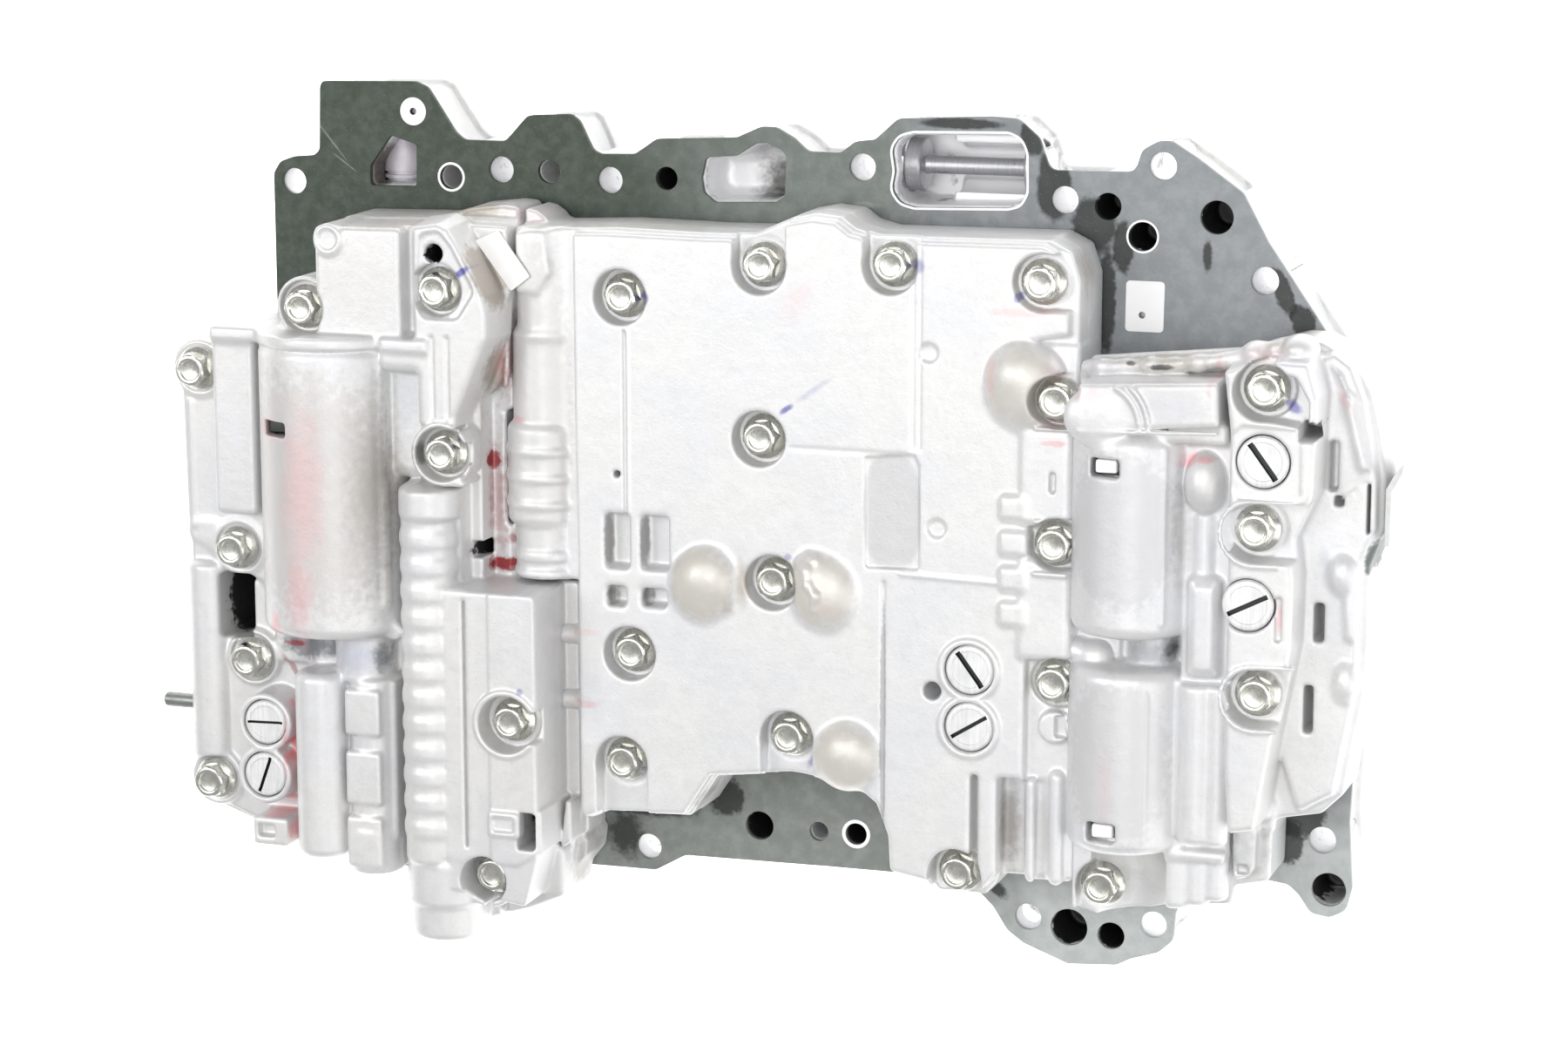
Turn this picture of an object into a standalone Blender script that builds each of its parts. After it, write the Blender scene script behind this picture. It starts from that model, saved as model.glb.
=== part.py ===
"""Automatic-transmission valve body: two lower layers of cast bodies bolted through a
separator plate to an upper body, with the accumulators and spool valves that run in them.

Metres, +Z up. The unit rests on the flat back of the upper body (z = 0). Sizes are written
in millimetres and turned to metres by MM. Layout coordinates are measured from a datum
that lies DATUM_X left of the origin, so that the origin is the centre of the footprint."""

import math

import bpy
import bmesh
from mathutils import Matrix, Vector

MM = 0.001
DATUM_X = 3.0            # layout datum to origin, along X
GAP = 0.3                # working gap between two faceted solids

# ---- driving dimensions, mm ---------------------------------------------------------
UPPER_TOP = 22.0         # upper body thickness
PLATE_LOW, PLATE_TOP = 22.3, 24.0
LOWER_LOW = 24.3         # underside of the three lower bodies
LEFT_BASE, LEFT_TOP = 44.0, 64.0
CENTRE_TOP = 50.0
RIGHT_BASE, RIGHT_TOP = 41.0, 60.0

SHANK_R, SHANK_HOLE_R = 2.5, 2.9       # M5 screws and their holes
SHANK_FOOT, HOLE_FOOT = 7.0, 5.0       # ends of shank and hole in the upper body
FLANGE_R, FLANGE_H, HEAD_R, HEAD_H = 5.6, 1.3, 4.62, 5.5
COUNTERBORE_R = 7.1
MOUNT_HOLE_R = 3.45                    # screws to the gearbox pass through these

SCREWS = [  # x, y, seat height of each flange screw
    (-156.5, 36.5, 48), (-121.0, 55.5, 54), (-82.0, 62.0, 56), (-81.0, 19.5, 56),
    (-146.0, -11.5, 48), (-142.5, -41.5, 48), (-154.5, -76.0, 48), (-62.5, -50.0, 57),
    (-70.0, -93.0, 52),
    (-35.5, 61.0, 44), (2.0, 70.5, 44), (36.5, 72.0, 44), (75.5, 69.5, 46),
    (2.0, 26.5, 44), (5.5, -10.5, 44), (-33.5, -32.0, 44), (-36.0, -61.5, 44),
    (9.5, -51.0, 44), (54.5, -83.5, 42),
    (80.0, 40.5, 47), (80.0, 4.5, 47), (133.0, 47.0, 52), (131.5, 12.5, 52),
    (132.5, -28.5, 52), (92.0, -83.5, 42), (80.0, -31.0, 46),
]
LEFT_SCREWS, CENTRE_SCREWS, RIGHT_SCREWS = range(0, 9), (9, 10, 11, 12, 13, 14, 15, 16, 17, 18, 19, 20, 25), (21, 22, 23, 24)

PLATE_OUTLINE = [
    (-145, 44), (-145, 86.5), (-143, 89.6), (-139, 91), (-133, 91.5), (-131.3, 93),
    (-130.8, 110), (-130, 111.4), (-103, 112), (-99.6, 110.6), (-91.8, 99), (-89.3, 97),
    (-77.4, 97), (-71, 104), (-58.8, 104.7), (-56.5, 103), (-52.8, 95.5), (-50.6, 94.5),
    (-41, 94.8), (-35, 99), (-13, 100), (-6.4, 103), (-2.4, 103), (2.6, 100.3),
    (6.4, 97), (15.3, 97), (19, 100), (24.3, 100.6), (30.5, 106.2), (55.2, 107.4),
    (62, 107), (67.5, 102.3), (70.3, 94.4), (92.2, 94.7), (93.9, 100.3), (98, 102.6),
    (101.4, 102.7), (108.3, 98.4), (119.6, 90.4), (126.2, 78.4), (144.3, 52.4),
    (150.5, 40), (151, -56), (150.6, -67), (151.7, -84.4), (150.3, -90.5),
    (146.2, -92.7), (141.3, -92), (138, -87.3), (135.3, -85), (130.3, -84.4),
    (112, -84.6), (106.3, -95.6), (105.8, -103), (102, -106.5), (94.6, -109),
    (91, -111), (78, -112), (66, -107.6), (61.6, -104.5), (57.7, -98.5),
    (53.5, -94.5), (36.4, -91.8), (12.2, -92), (-27.9, -92.7), (-36.4, -97.6),
    (-53.6, -97.8), (-65, -98.2), (-100, -97.5), (-112, -92), (-150, -86),
    (-159.6, -80), (-160.6, 38), (-157, 43),
]
MOUNT_HOLES = [(-139, 84.4), (-78.7, 89.5), (-48, 87.8), (21.1, 93.5), (74.3, 87.1),
               (99.3, 96.4), (125.6, 68.9), (143.8, -72.6), (67.2, -100.4),
               (-38.4, -91.3), (100.6, -99.2)]
PORTS = [  # x, y, radius of the fluid ports that pass the plate and end in the upper body
    (-65.1, 89.5, 3.1), (-32.2, 88.8, 3.0), (85.5, 85.9, 3.4), (94.5, 78.7, 3.6),
    (113.2, 84.2, 4.2), (-6.9, -82.6, 3.9), (9.7, -82.7, 2.6), (20.1, -82.4, 2.9),
    (-93, 87.1, 3.2), (78.2, -102.1, 4.9), (89.4, -103.3, 3.6), (145.8, -85.4, 4.4),
]
ORIFICES = [(-103.7, 104.1, 1.0), (94.7, 59.0, 1.0)]   # through the plate only
WINDOW_1 = [(-116.6, 84), (-116.5, 89.3), (-110.4, 97.6), (-102.9, 95.3), (-103.1, 84.3)]
WINDOW_2 = [(-22.1, 94.6), (-14.2, 95.3), (-4.3, 98.7), (0, 95.5), (-0.5, 84.1), (-19, 83.4), (-22.1, 86.4)]
WINDOW_3 = [(28.9, 98.5), (31, 101.6), (34.5, 102.6), (60, 103.2), (63.8, 101.8), (65.2, 98.5),
            (65.4, 88.5), (63.6, 85.4), (60.5, 84.5), (35, 83.8), (31.4, 84.8), (29.2, 87.6)]


# ---- modelling helpers --------------------------------------------------------------
for _old in list(bpy.data.objects):
    bpy.data.objects.remove(_old, do_unlink=True)

SCENE = bpy.context.scene
PARTS = bpy.data.collections.new("transmission_valve_body")
TOOLS = bpy.data.collections.new("valve_body_cutters")
SCENE.collection.children.link(PARTS)
SCENE.collection.children.link(TOOLS)

DATUM = bpy.data.objects.new("layout_datum", None)
DATUM.location = (DATUM_X * MM, 0, 0)
PARTS.objects.link(DATUM)


def material(name, colour, roughness, metallic):
    made = bpy.data.materials.new(name)
    made.use_nodes = True
    shader = made.node_tree.nodes["Principled BSDF"]
    shader.inputs["Base Color"].default_value = (*colour, 1)
    shader.inputs["Roughness"].default_value = roughness
    shader.inputs["Metallic"].default_value = metallic
    made.diffuse_color = (*colour, 1)
    return made


CAST = material("cast_aluminium", (0.80, 0.79, 0.77), 0.42, 0.85)
CAST_UPPER = material("cast_aluminium_upper", (0.74, 0.74, 0.72), 0.46, 0.85)
COATED = material("coated_plate", (0.06, 0.09, 0.07), 0.55, 0.2)
ZINC = material("plated_steel", (0.48, 0.47, 0.38), 0.30, 0.9)
MACHINED = material("machined_aluminium", (0.78, 0.78, 0.78), 0.28, 0.9)
ANODISED = material("anodised_valve", (0.55, 0.55, 0.55), 0.35, 0.8)
SPRING_STEEL = material("spring_steel", (0.35, 0.35, 0.36), 0.30, 1.0)
PAPER = material("white_paper", (0.90, 0.90, 0.88), 0.80, 0.0)
DARK_STEEL = material("dark_steel", (0.12, 0.13, 0.12), 0.45, 0.8)


def link(obj, helper):
    if helper:
        TOOLS.objects.link(obj)
        obj.hide_render = True
        obj.display_type = "WIRE"
    else:
        PARTS.objects.link(obj)
        obj.parent = DATUM
    return obj


def mesh_from(name, bm, helper=True, mat=None):
    bmesh.ops.recalc_face_normals(bm, faces=bm.faces)
    data = bpy.data.meshes.new(name)
    bm.to_mesh(data)
    bm.free()
    obj = bpy.data.objects.new(name, data)
    if mat:
        data.materials.append(mat)
    link(obj, helper)
    if helper:
        obj.location = (DATUM_X * MM, 0, 0)
    return obj


def box(name, low, high, helper=True, mat=None):
    bm = bmesh.new()
    bmesh.ops.create_cube(bm, size=1.0)
    size = [(b - a) * MM for a, b in zip(low, high)]
    mid = [(b + a) / 2 * MM for a, b in zip(low, high)]
    bmesh.ops.scale(bm, vec=size, verts=bm.verts)
    bmesh.ops.translate(bm, vec=mid, verts=bm.verts)
    return mesh_from(name, bm, helper, mat)


AXES = {"X": Matrix.Rotation(math.radians(90), 4, "Y"), "Y": Matrix.Rotation(math.radians(-90), 4, "X"), "Z": Matrix.Identity(4)}


def rod(name, axis, centre, start, end, radius, sides=12, helper=True, mat=None, end_radius=None):
    """A cylinder or cone along an axis, from start to end on it, with its other two coordinates in centre."""
    bm = bmesh.new()
    bmesh.ops.create_cone(bm, cap_ends=True, cap_tris=False, segments=sides, radius1=radius * MM,
                          radius2=(radius if end_radius is None else end_radius) * MM, depth=(end - start) * MM)
    bmesh.ops.transform(bm, matrix=AXES[axis], verts=bm.verts)
    mid = (start + end) / 2
    where = {"X": (mid, *centre), "Y": (centre[0], mid, centre[1]), "Z": (*centre, mid)}[axis]
    bmesh.ops.translate(bm, vec=[v * MM for v in where], verts=bm.verts)
    return mesh_from(name, bm, helper, mat)


def dome(name, x, y, z, radius, height, sides=12, rings=6):
    """The upper part of a flattened ball whose equator is at z."""
    bm = bmesh.new()
    bmesh.ops.create_uvsphere(bm, u_segments=sides, v_segments=rings, radius=radius * MM)
    bmesh.ops.scale(bm, vec=(1, 1, height / radius), verts=bm.verts)
    bmesh.ops.translate(bm, vec=(x * MM, y * MM, z * MM), verts=bm.verts)
    return mesh_from(name, bm)


def prism(name, outline, low, high, helper=True, mat=None):
    """A flat outline given thickness: a filled 2D curve, made a mesh so that it can be cut."""
    curve = bpy.data.curves.new(name, "CURVE")
    curve.dimensions = "2D"
    curve.fill_mode = "BOTH"
    curve.extrude = (high - low) / 2 * MM
    spline = curve.splines.new("POLY")
    spline.points.add(len(outline) - 1)
    for point, (x, y) in zip(spline.points, outline):
        point.co = (x * MM, y * MM, 0, 1)
    spline.use_cyclic_u = True
    rough = bpy.data.objects.new(name + "_outline", curve)
    SCENE.collection.objects.link(rough)
    rough.location = (0, 0, (low + high) / 2 * MM)
    bpy.context.view_layer.update()
    graph = bpy.context.evaluated_depsgraph_get()
    solid = bpy.data.meshes.new_from_object(rough.evaluated_get(graph))
    bm = bmesh.new()
    bm.from_mesh(solid)
    bmesh.ops.remove_doubles(bm, verts=bm.verts, dist=1e-7)
    bmesh.ops.transform(bm, matrix=rough.matrix_world, verts=bm.verts)
    bpy.data.objects.remove(rough, do_unlink=True)
    bpy.data.meshes.remove(solid)
    return mesh_from(name, bm, helper, mat)


def turned(name, axis, centre, start, profile, mat, sides=16, origin=0.0):
    """A turned piece. profile is (distance along the axis, radius), from one end to the other; its
    origin is put on its axis at start + origin."""
    top = profile[-1][0]
    data = bpy.data.meshes.new(name)
    bm = bmesh.new()
    points = [(0.0, top)] + [(r, a) for a, r in reversed(profile)] + [(0.0, profile[0][0])]
    verts = [bm.verts.new((r * MM, 0, (a - origin) * MM)) for r, a in points]
    for first, second in zip(verts, verts[1:]):
        bm.edges.new((first, second))
    bm.to_mesh(data)
    bm.free()
    data.materials.append(mat)
    obj = link(bpy.data.objects.new(name, data), False)
    screw = obj.modifiers.new("turn", "SCREW")
    screw.axis = "Z"
    screw.angle = math.tau
    screw.steps = screw.render_steps = sides
    screw.use_merge_vertices = True
    screw.merge_threshold = 0.00001
    screw.use_smooth_shade = True
    obj.rotation_euler = AXES[axis].to_euler()
    at = start + origin
    where = {"X": (at, *centre), "Y": (centre[0], at, centre[1]), "Z": (*centre, at)}[axis]
    obj.location = [v * MM for v in where]
    return obj


def boolean(target, tools, operation):
    """One Boolean per set of helper solids, kept as a modifier."""
    group = bpy.data.collections.new(f"{target.name}_{operation.lower()}")
    TOOLS.children.link(group)
    for tool in tools:
        TOOLS.objects.unlink(tool)
        group.objects.link(tool)
    modifier = target.modifiers.new(operation.lower(), "BOOLEAN")
    modifier.operation = operation
    modifier.operand_type = "COLLECTION"
    modifier.collection = group
    modifier.solver = "EXACT"


def inset(outline, distance):
    """The outline moved inwards by a distance, corner by corner."""
    count = len(outline)
    area = sum(a[0] * b[1] - b[0] * a[1] for a, b in zip(outline, outline[1:] + outline[:1])) / 2
    side = 1 if area > 0 else -1
    moved = []
    for i, (x, y) in enumerate(outline):
        before = Vector((x - outline[i - 1][0], y - outline[i - 1][1])).normalized()
        after = Vector((outline[(i + 1) % count][0] - x, outline[(i + 1) % count][1] - y)).normalized()
        one, two = Vector((-before.y, before.x)) * side, Vector((-after.y, after.x)) * side
        mitre = one + two
        scale = distance / max(0.35, mitre.length_squared / 2)
        moved.append((x + mitre.x * scale, y + mitre.y * scale))
    return moved


def seat_cuts(name, index, side=COUNTERBORE_R, top=80.0, slot=None):
    """Shank hole and counterbore of one screw; slot is the direction in which a U-notch runs out."""
    x, y, seat = SCREWS[index]
    cuts = [rod(f"{name}_shank_{index}", "Z", (x, y), 20, seat + 1, SHANK_HOLE_R, 8),
            rod(f"{name}_bore_{index}", "Z", (x, y), seat, top, side, 12)]
    if slot:
        dx, dy = slot
        low = (min(x - side * 0.96, x - side * 0.96 + dx), min(y - side * 0.96, y - side * 0.96 + dy), seat + 0.02)
        high = (max(x + side * 0.96, x + side * 0.96 + dx), max(y + side * 0.96, y + side * 0.96 + dy), top)
        if dx > 0:
            low = (x, low[1], low[2])
        elif dx < 0:
            high = (x, high[1], high[2])
        if dy > 0:
            low = (low[0], y, low[2])
        elif dy < 0:
            high = (high[0], y, high[2])
        cuts.append(box(f"{name}_notch_{index}", low, high))
    return cuts


# ---- upper body, the layer that the unit rests on -----------------------------------
upper_outline = inset(PLATE_OUTLINE, 0.8)
upper_body = prism("upper_body", upper_outline, 0, UPPER_TOP, False, CAST_UPPER)
cuts = []
for i, (x, y, seat) in enumerate(SCREWS):
    cuts.append(rod(f"upper_tap_{i}", "Z", (x, y), HOLE_FOOT, 30, SHANK_HOLE_R, 8))
for i, (x, y) in enumerate(MOUNT_HOLES):
    cuts.append(rod(f"upper_mount_{i}", "Z", (x, y), -5, 30, MOUNT_HOLE_R, 8))
for i, (x, y, r) in enumerate(PORTS):
    cuts.append(rod(f"upper_port_{i}", "Z", (x, y), 6 + i * 0.1, 30, r - 0.2, 8))
VALVE_Z = 11.0
UPPER_VALVE_Y, UPPER_VALVE_R = 93.5, 6.8
PLUNGER_X, PLUNGER_R = -112.0, 5.9
cuts += [
    prism("window_2_pocket", inset(WINDOW_2, 0.8), 9, 30),
    prism("window_3_pocket", inset(WINDOW_3, 0.8), 5.0, 30),
    rod("upper_valve_bore", "X", (UPPER_VALVE_Y, VALVE_Z), 25.9, 66.0, UPPER_VALVE_R + 0.35, 12),
    prism("window_1_pocket", inset(WINDOW_1, 0.8), 9.6, 30),
    rod("plunger_bore", "Y", (PLUNGER_X, VALVE_Z), 72.0, 107.0, PLUNGER_R + 0.35, 12),
]
# worm tracks in the back of the upper body
for i, (x0, y0, x1, y1) in enumerate([(-150, -60, -120, -52), (-150, -30, -90, -22), (-128, -4, -88, 6),
                                      (-70, 10, -12, 18), (-60, 36, 30, 43), (14, -34, 66, -26),
                                      (70, 20, 120, 27), (96, -60, 138, -52), (-20, -62, 40, -56)]):
    cuts.append(box(f"worm_track_{i}", (x0, y0, -4), (x1, y1, 3.6 + i * 0.05)))
boolean(upper_body, cuts, "DIFFERENCE")

upper_spool_valve = turned("upper_spool_valve", "X", (UPPER_VALVE_Y, VALVE_Z), 29.6, [
    (0, UPPER_VALVE_R - 0.6), (0.6, UPPER_VALVE_R), (4.4, UPPER_VALVE_R), (4.9, UPPER_VALVE_R - 0.5), (4.9, 2.3),
    (32.2, 2.3), (32.2, UPPER_VALVE_R), (35.0, UPPER_VALVE_R)], ANODISED, 12, 2.5)
upper_plunger_valve = turned("upper_plunger_valve", "Y", (PLUNGER_X, VALVE_Z), 77.5, [
    (0, 4.9), (1, PLUNGER_R), (7.0, PLUNGER_R), (7.0, 5.0), (7.8, 5.0), (7.8, PLUNGER_R), (8.8, PLUNGER_R),
    (8.8, 5.0), (9.6, 5.0), (9.6, PLUNGER_R), (23, PLUNGER_R), (24, 4.9)], ANODISED, 12, 12)

# ---- separator plate with its bonded gasket -----------------------------------------
separator_plate = prism("separator_plate", PLATE_OUTLINE, PLATE_LOW, PLATE_TOP, False, COATED)
cuts = [prism("plate_window_1", WINDOW_1, 18, 30), prism("plate_window_2", WINDOW_2, 18, 30),
        prism("plate_window_3", WINDOW_3, 18, 30)]
for i, (x, y, seat) in enumerate(SCREWS):
    cuts.append(rod(f"plate_screw_{i}", "Z", (x, y), 18, 30, SHANK_HOLE_R, 8))
for i, (x, y) in enumerate(MOUNT_HOLES):
    cuts.append(rod(f"plate_mount_{i}", "Z", (x, y), 18, 30, MOUNT_HOLE_R, 8))
for i, (x, y, r) in enumerate(PORTS):
    cuts.append(rod(f"plate_port_{i}", "Z", (x, y), 18, 30, r, 8))
for i, (x, y, r) in enumerate(ORIFICES):
    cuts.append(rod(f"plate_orifice_{i}", "Z", (x, y), 18, 30, r, 6))
boolean(separator_plate, cuts, "DIFFERENCE")

# ---- lower left body ----------------------------------------------------------------
LEFT_OUTLINE = [(-115.5, 78), (-75.5, 79), (-66.2, 78.6), (-65.2, 61), (-67.6, 50), (-67.8, 29.4), (-70.7, 28.4),
                (-70.7, -0.6), (-68.8, -1.8), (-68.8, -14.9), (-49.9, -15.3), (-49.9, -78), (-51.6, -84), (-53.6, -93), (-61.6, -99.8), (-77, -108.6), (-92, -110.6), (-94, -99),
                (-112, -96.5), (-137, -92), (-160, -84), (-163.4, -76), (-162.6, -20), (-163.6, 30),
                (-163.6, 42.5), (-157, 45), (-130, 46), (-128.5, 61), (-116, 64)]
ACC_A = dict(x=-116.0, z=49.0, r=20.0, bore=16.4)
lower_body_left = prism("lower_body_left", LEFT_OUTLINE, LOWER_LOW, LEFT_BASE, False, CAST)
adds = [
    prism("l_block", [(-115, 77.6), (-86.2, 77.9), (-86.4, 49), (-115.2, 48)], 27, 59),
    rod("l_block_boss", "Z", (-111.7, 73.2), 28, 60.4, 4.2, 12),
    rod("l_lobe", "Z", (-83.2, 70.5), 28.1, 60.2, 8.7, 16),
    prism("l_shelf", [(-94, 77.2), (-79.4, 78.5), (-68.3, 61.2), (-67.9, 54), (-68.6, 46.4), (-75, 30.2), (-77, 12), (-98, 11.8), (-97.8, 47)], 27.2, 57.5),
    rod("l_rib", "Y", (-78.6, 56.6), 12.6, 47, 1.8, 10),
    prism("l_nw_pad", [(-129.8, 45), (-110, 45), (-110, 63), (-128, 62)], 27.4, 54.0),
    box("l_strip", (-149.4, -1.2, 29), (-137.4, 45.4, 55)),
    prism("l_left_pad", [(-162.8, 41.8), (-150, 44.4), (-136, 44), (-134, -25), (-152, -15), (-162, -10)], 27.6, 48.0),
    rod("acc_a_barrel", "Y", (ACC_A["x"], ACC_A["z"]), -30.6, 45.8, ACC_A["r"], 24),
    box("acc_a_wall", (ACC_A["x"] - 19.8, -30.2, 28.4), (ACC_A["x"] + 19.8, 45.2, ACC_A["z"])),
    box("l_neck", (-136, -42, 28.6), (-94.6, -29, 50.2)),
    rod("l_neck_boss", "Y", (-107.6, 51.4), -42.2, -29.6, 5.6, 12),
    prism("l_lower_deck", [(-161.8, -19), (-136, -20), (-135, -40), (-96, -40), (-96, -94), (-113, -94.5), (-137, -90.6), (-159, -82), (-161.8, -74)], 27.8, 47.0),
    rod("l_side_tube", "Y", (-156.2, 44.6), -70.8, -16.4, 6.2, 14),
    rod("l_screw_boss_6", "Z", (-142.5, -41.5), 28.2, 48.0, 7.4, 12),
    rod("l_screw_boss_5", "Z", (-146, -11.5), 28.3, 48.0, 7.2, 12),
    rod("l_screw_boss_7", "Z", (-154.5, -76), 28.5, 48.0, 7.4, 12),
    rod("l_plug_boss_1", "Z", (-135.1, -56.9), 28.7, 58.0, 7.8, 16),
    rod("l_plug_boss_2", "Z", (-135.5, -71.3), 28.9, 58.0, 7.8, 16),
    box("l_plug_web", (-141, -71, 29.1), (-129.6, -57, 57.8)),
    box("l_square_boss", (-139.4, -91, 29.3), (-129.4, -83.4, 57.2)),
    rod("l_tube_2", "Y", (-119.6, 56.4), -91.6, -41.4, 7.7, 16),
    box("l_tube_2_wall", (-127.1, -91.2, 29.5), (-112.1, -41.8, 56.2)),
    rod("l_column", "Y", (-105.0, 54.0), -83.5, -42.6, 6.1, 12),
    rod("l_column_step", "Y", (-105.0, 54.0), -95.4, -83.2, 6.9, 14),
    box("l_column_wall", (-111.3, -95, 29.7), (-97.5, -42.8, 53.8)),
    rod("l_ribbed", "Y", (-85.6, 58.0), -89.6, 10.6, 7.2, 12),
    rod("l_ribbed_cap", "Y", (-85.6, 58.0), 1.2, 11.4, 8.3, 16),
    box("l_ribbed_wall", (-93.0, -90, 29.9), (-78.0, 10.8, 58.2)),
    rod("l_foot_boss", "Y", (-84.0, 52.0), -110.8, -88.6, 10.2, 18),
    box("l_foot_web", (-94.0, -110.2, 30.1), (-74.0, -88, 51.8)),
    prism("l_land", [(-79, -15.4), (-54.4, -15.8), (-54.6, -87), (-60, -99), (-79, -90)], 28.8, LEFT_TOP),
    prism("l_corner", [(-77, -86), (-54.4, -86.4), (-54.2, -92.6), (-62, -99.2), (-77, -107.9)], 28.0, 56.6),
    prism("l_corner_lip", [(-78, -85.4), (-52.8, -85.8), (-52.8, -99.6), (-62.2, -103.8), (-70, -106.4), (-78, -108.8)], 46.0, 57.0),
    prism("l_label_ledge", [(-80, 78.2), (-66.6, 77.8), (-65.6, 61), (-67.2, 55), (-70, 56)], 29.2, 49.2),
    prism("l_wedge_flange", [(-62, -83.6), (-52, -83.0), (-44.8, -86.2), (-49.6, -94.6), (-62, -99.4)], 27.1, 33.5),
]
for k in range(9):   # the ribs cast round the long spool housing
    y = -82.5 + k * 9.0
    adds.append(rod(f"l_rib_{k}", "Y", (-85.6, 58.0), y, y + 3.4, 8.1, 12))
for k in range(4):   # and round the short column
    y = -78.5 + k * 9.4
    adds.append(rod(f"l_column_rib_{k}", "Y", (-105.0, 54.0), y, y + 3.0, 6.9, 12))
boolean(lower_body_left, adds, "UNION")

cuts = []
for index in (0, 1, 2, 4, 5, 6):
    cuts += seat_cuts("left", index, 6.3)
cuts += seat_cuts("left", 3, slot=(12, 0)) + seat_cuts("left", 7, slot=(14, 0)) + seat_cuts("left", 8, slot=(0, -20))
cuts += [
    rod("acc_a_bore", "Y", (ACC_A["x"], ACC_A["z"]), -27.5, 60, ACC_A["bore"], 20),
    box("acc_a_key_slot", (-130.0, 22.4, 48), (-122.8, 26.6, 80)),
    rod("l_lobe_hole", "Z", (-83.2, 71.0), 46, 80, 2.5, 10),
    rod("l_plug_hole_1", "Z", (-135.1, -56.9), 46.2, 80, 6.3, 12),
    rod("l_plug_hole_2", "Z", (-135.5, -71.3), 46.4, 80, 6.3, 12),
    rod("l_ribbed_bore", "Y", (-85.6, 55.0), -106, 4.0, 5.2, 12),
    rod("l_ribbed_mouth", "Y", (-85.6, 55.0), -120, -98.0, 6.6, 12),
    rod("l_column_bore", "Y", (-105.0, 52.6), -92, -47.0, 4.0, 12),
    rod("l_column_mouth", "Y", (-105.0, 52.6), -105, -87.0, 5.0, 12),
    rod("l_side_bore", "X", (-56.2, 44.6), -175, -154, 2.35, 12),
    box("l_slot", (-73.4, -7.2, 56), (-69.6, -2.0, 80)),
    box("l_window", (-58.2, -83.4, 50), (-50, -72.2, 80)),
    box("l_slit", (-71.8, -120, 51.6), (-68.4, -99.2, 62)),
    box("l_wall_slot", (-67.4, 49, 44), (-60, 57.6, 52)),
    # the deep trench beside the centre body, and the lower shelf past its end
    prism("l_trench", [(-60, 50.5), (-67.9, 50), (-68.2, 44.6), (-75.2, 30), (-76.6, 12), (-76.4, -13.6), (-60, -13.9)], 40.0, 80),
    box("l_east_shelf", (-54.0, -85.5, 38.8), (-45, -15.0, 80)),
    box("l_gap_behind_barrel", (-151.8, -36.4, 20), (-142.8, -19.3, 50)),
]
boolean(lower_body_left, cuts, "DIFFERENCE")

# ---- lower centre body --------------------------------------------------------------
CENTRE_OUTLINE = [(-63.5, 77.4), (-38, 78.6), (-14, 78.2), (-0.5, 78.4), (4, 80.4), (10, 83), (16, 84.2),
                  (22.7, 83.6), (26.5, 80.8), (32, 79.4), (76.5, 79.8), (82.2, 77), (84.6, 70), (84.6, 57), (84.6, -83.5),
                  (66, -84), (60.8, -90), (48, -90), (46, -86.6), (36, -85), (35.3, -74.5), (32.5, -67), (26.8, -62.7),
                  (23, -63), (9, -61.6), (-10.6, -64), (-18, -75.3), (-41.8, -76.6), (-47.2, -78.8), (-49.2, -75),
                  (-49.3, -14.6), (-68.2, -14.2), (-68.2, -1.4), (-70.1, -0.2), (-70.1, 28), (-67.2, 29), (-67.0, 49.8), (-64.4, 60)]
lower_body_centre = prism("lower_body_centre", CENTRE_OUTLINE, LOWER_LOW, 46.0, False, CAST)
DECK = [(-49.4, 77.6), (-38, 77.9), (-14, 77.6), (-0.5, 77.8), (4, 79.8), (10.2, 82.4), (16, 83.6), (22.4, 83),
        (26.2, 80.2), (32, 78.8), (76, 79.2), (81.6, 76.4), (82.2, 70), (82.0, 56), (72.6, 54), (72.6, -55), (72.4, -82),
        (60.2, -89.4), (48.4, -89.4), (46.2, -86), (36.5, -84.4), (35.8, -74.3), (32.8, -66.6), (27, -62.2), (9, -61),
        (-10.9, -63.4), (-18.3, -74.7), (-41.6, -76), (-47, -78.2), (-48.6, -75), (-48.7, -14), (-49.2, 30)]
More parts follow.
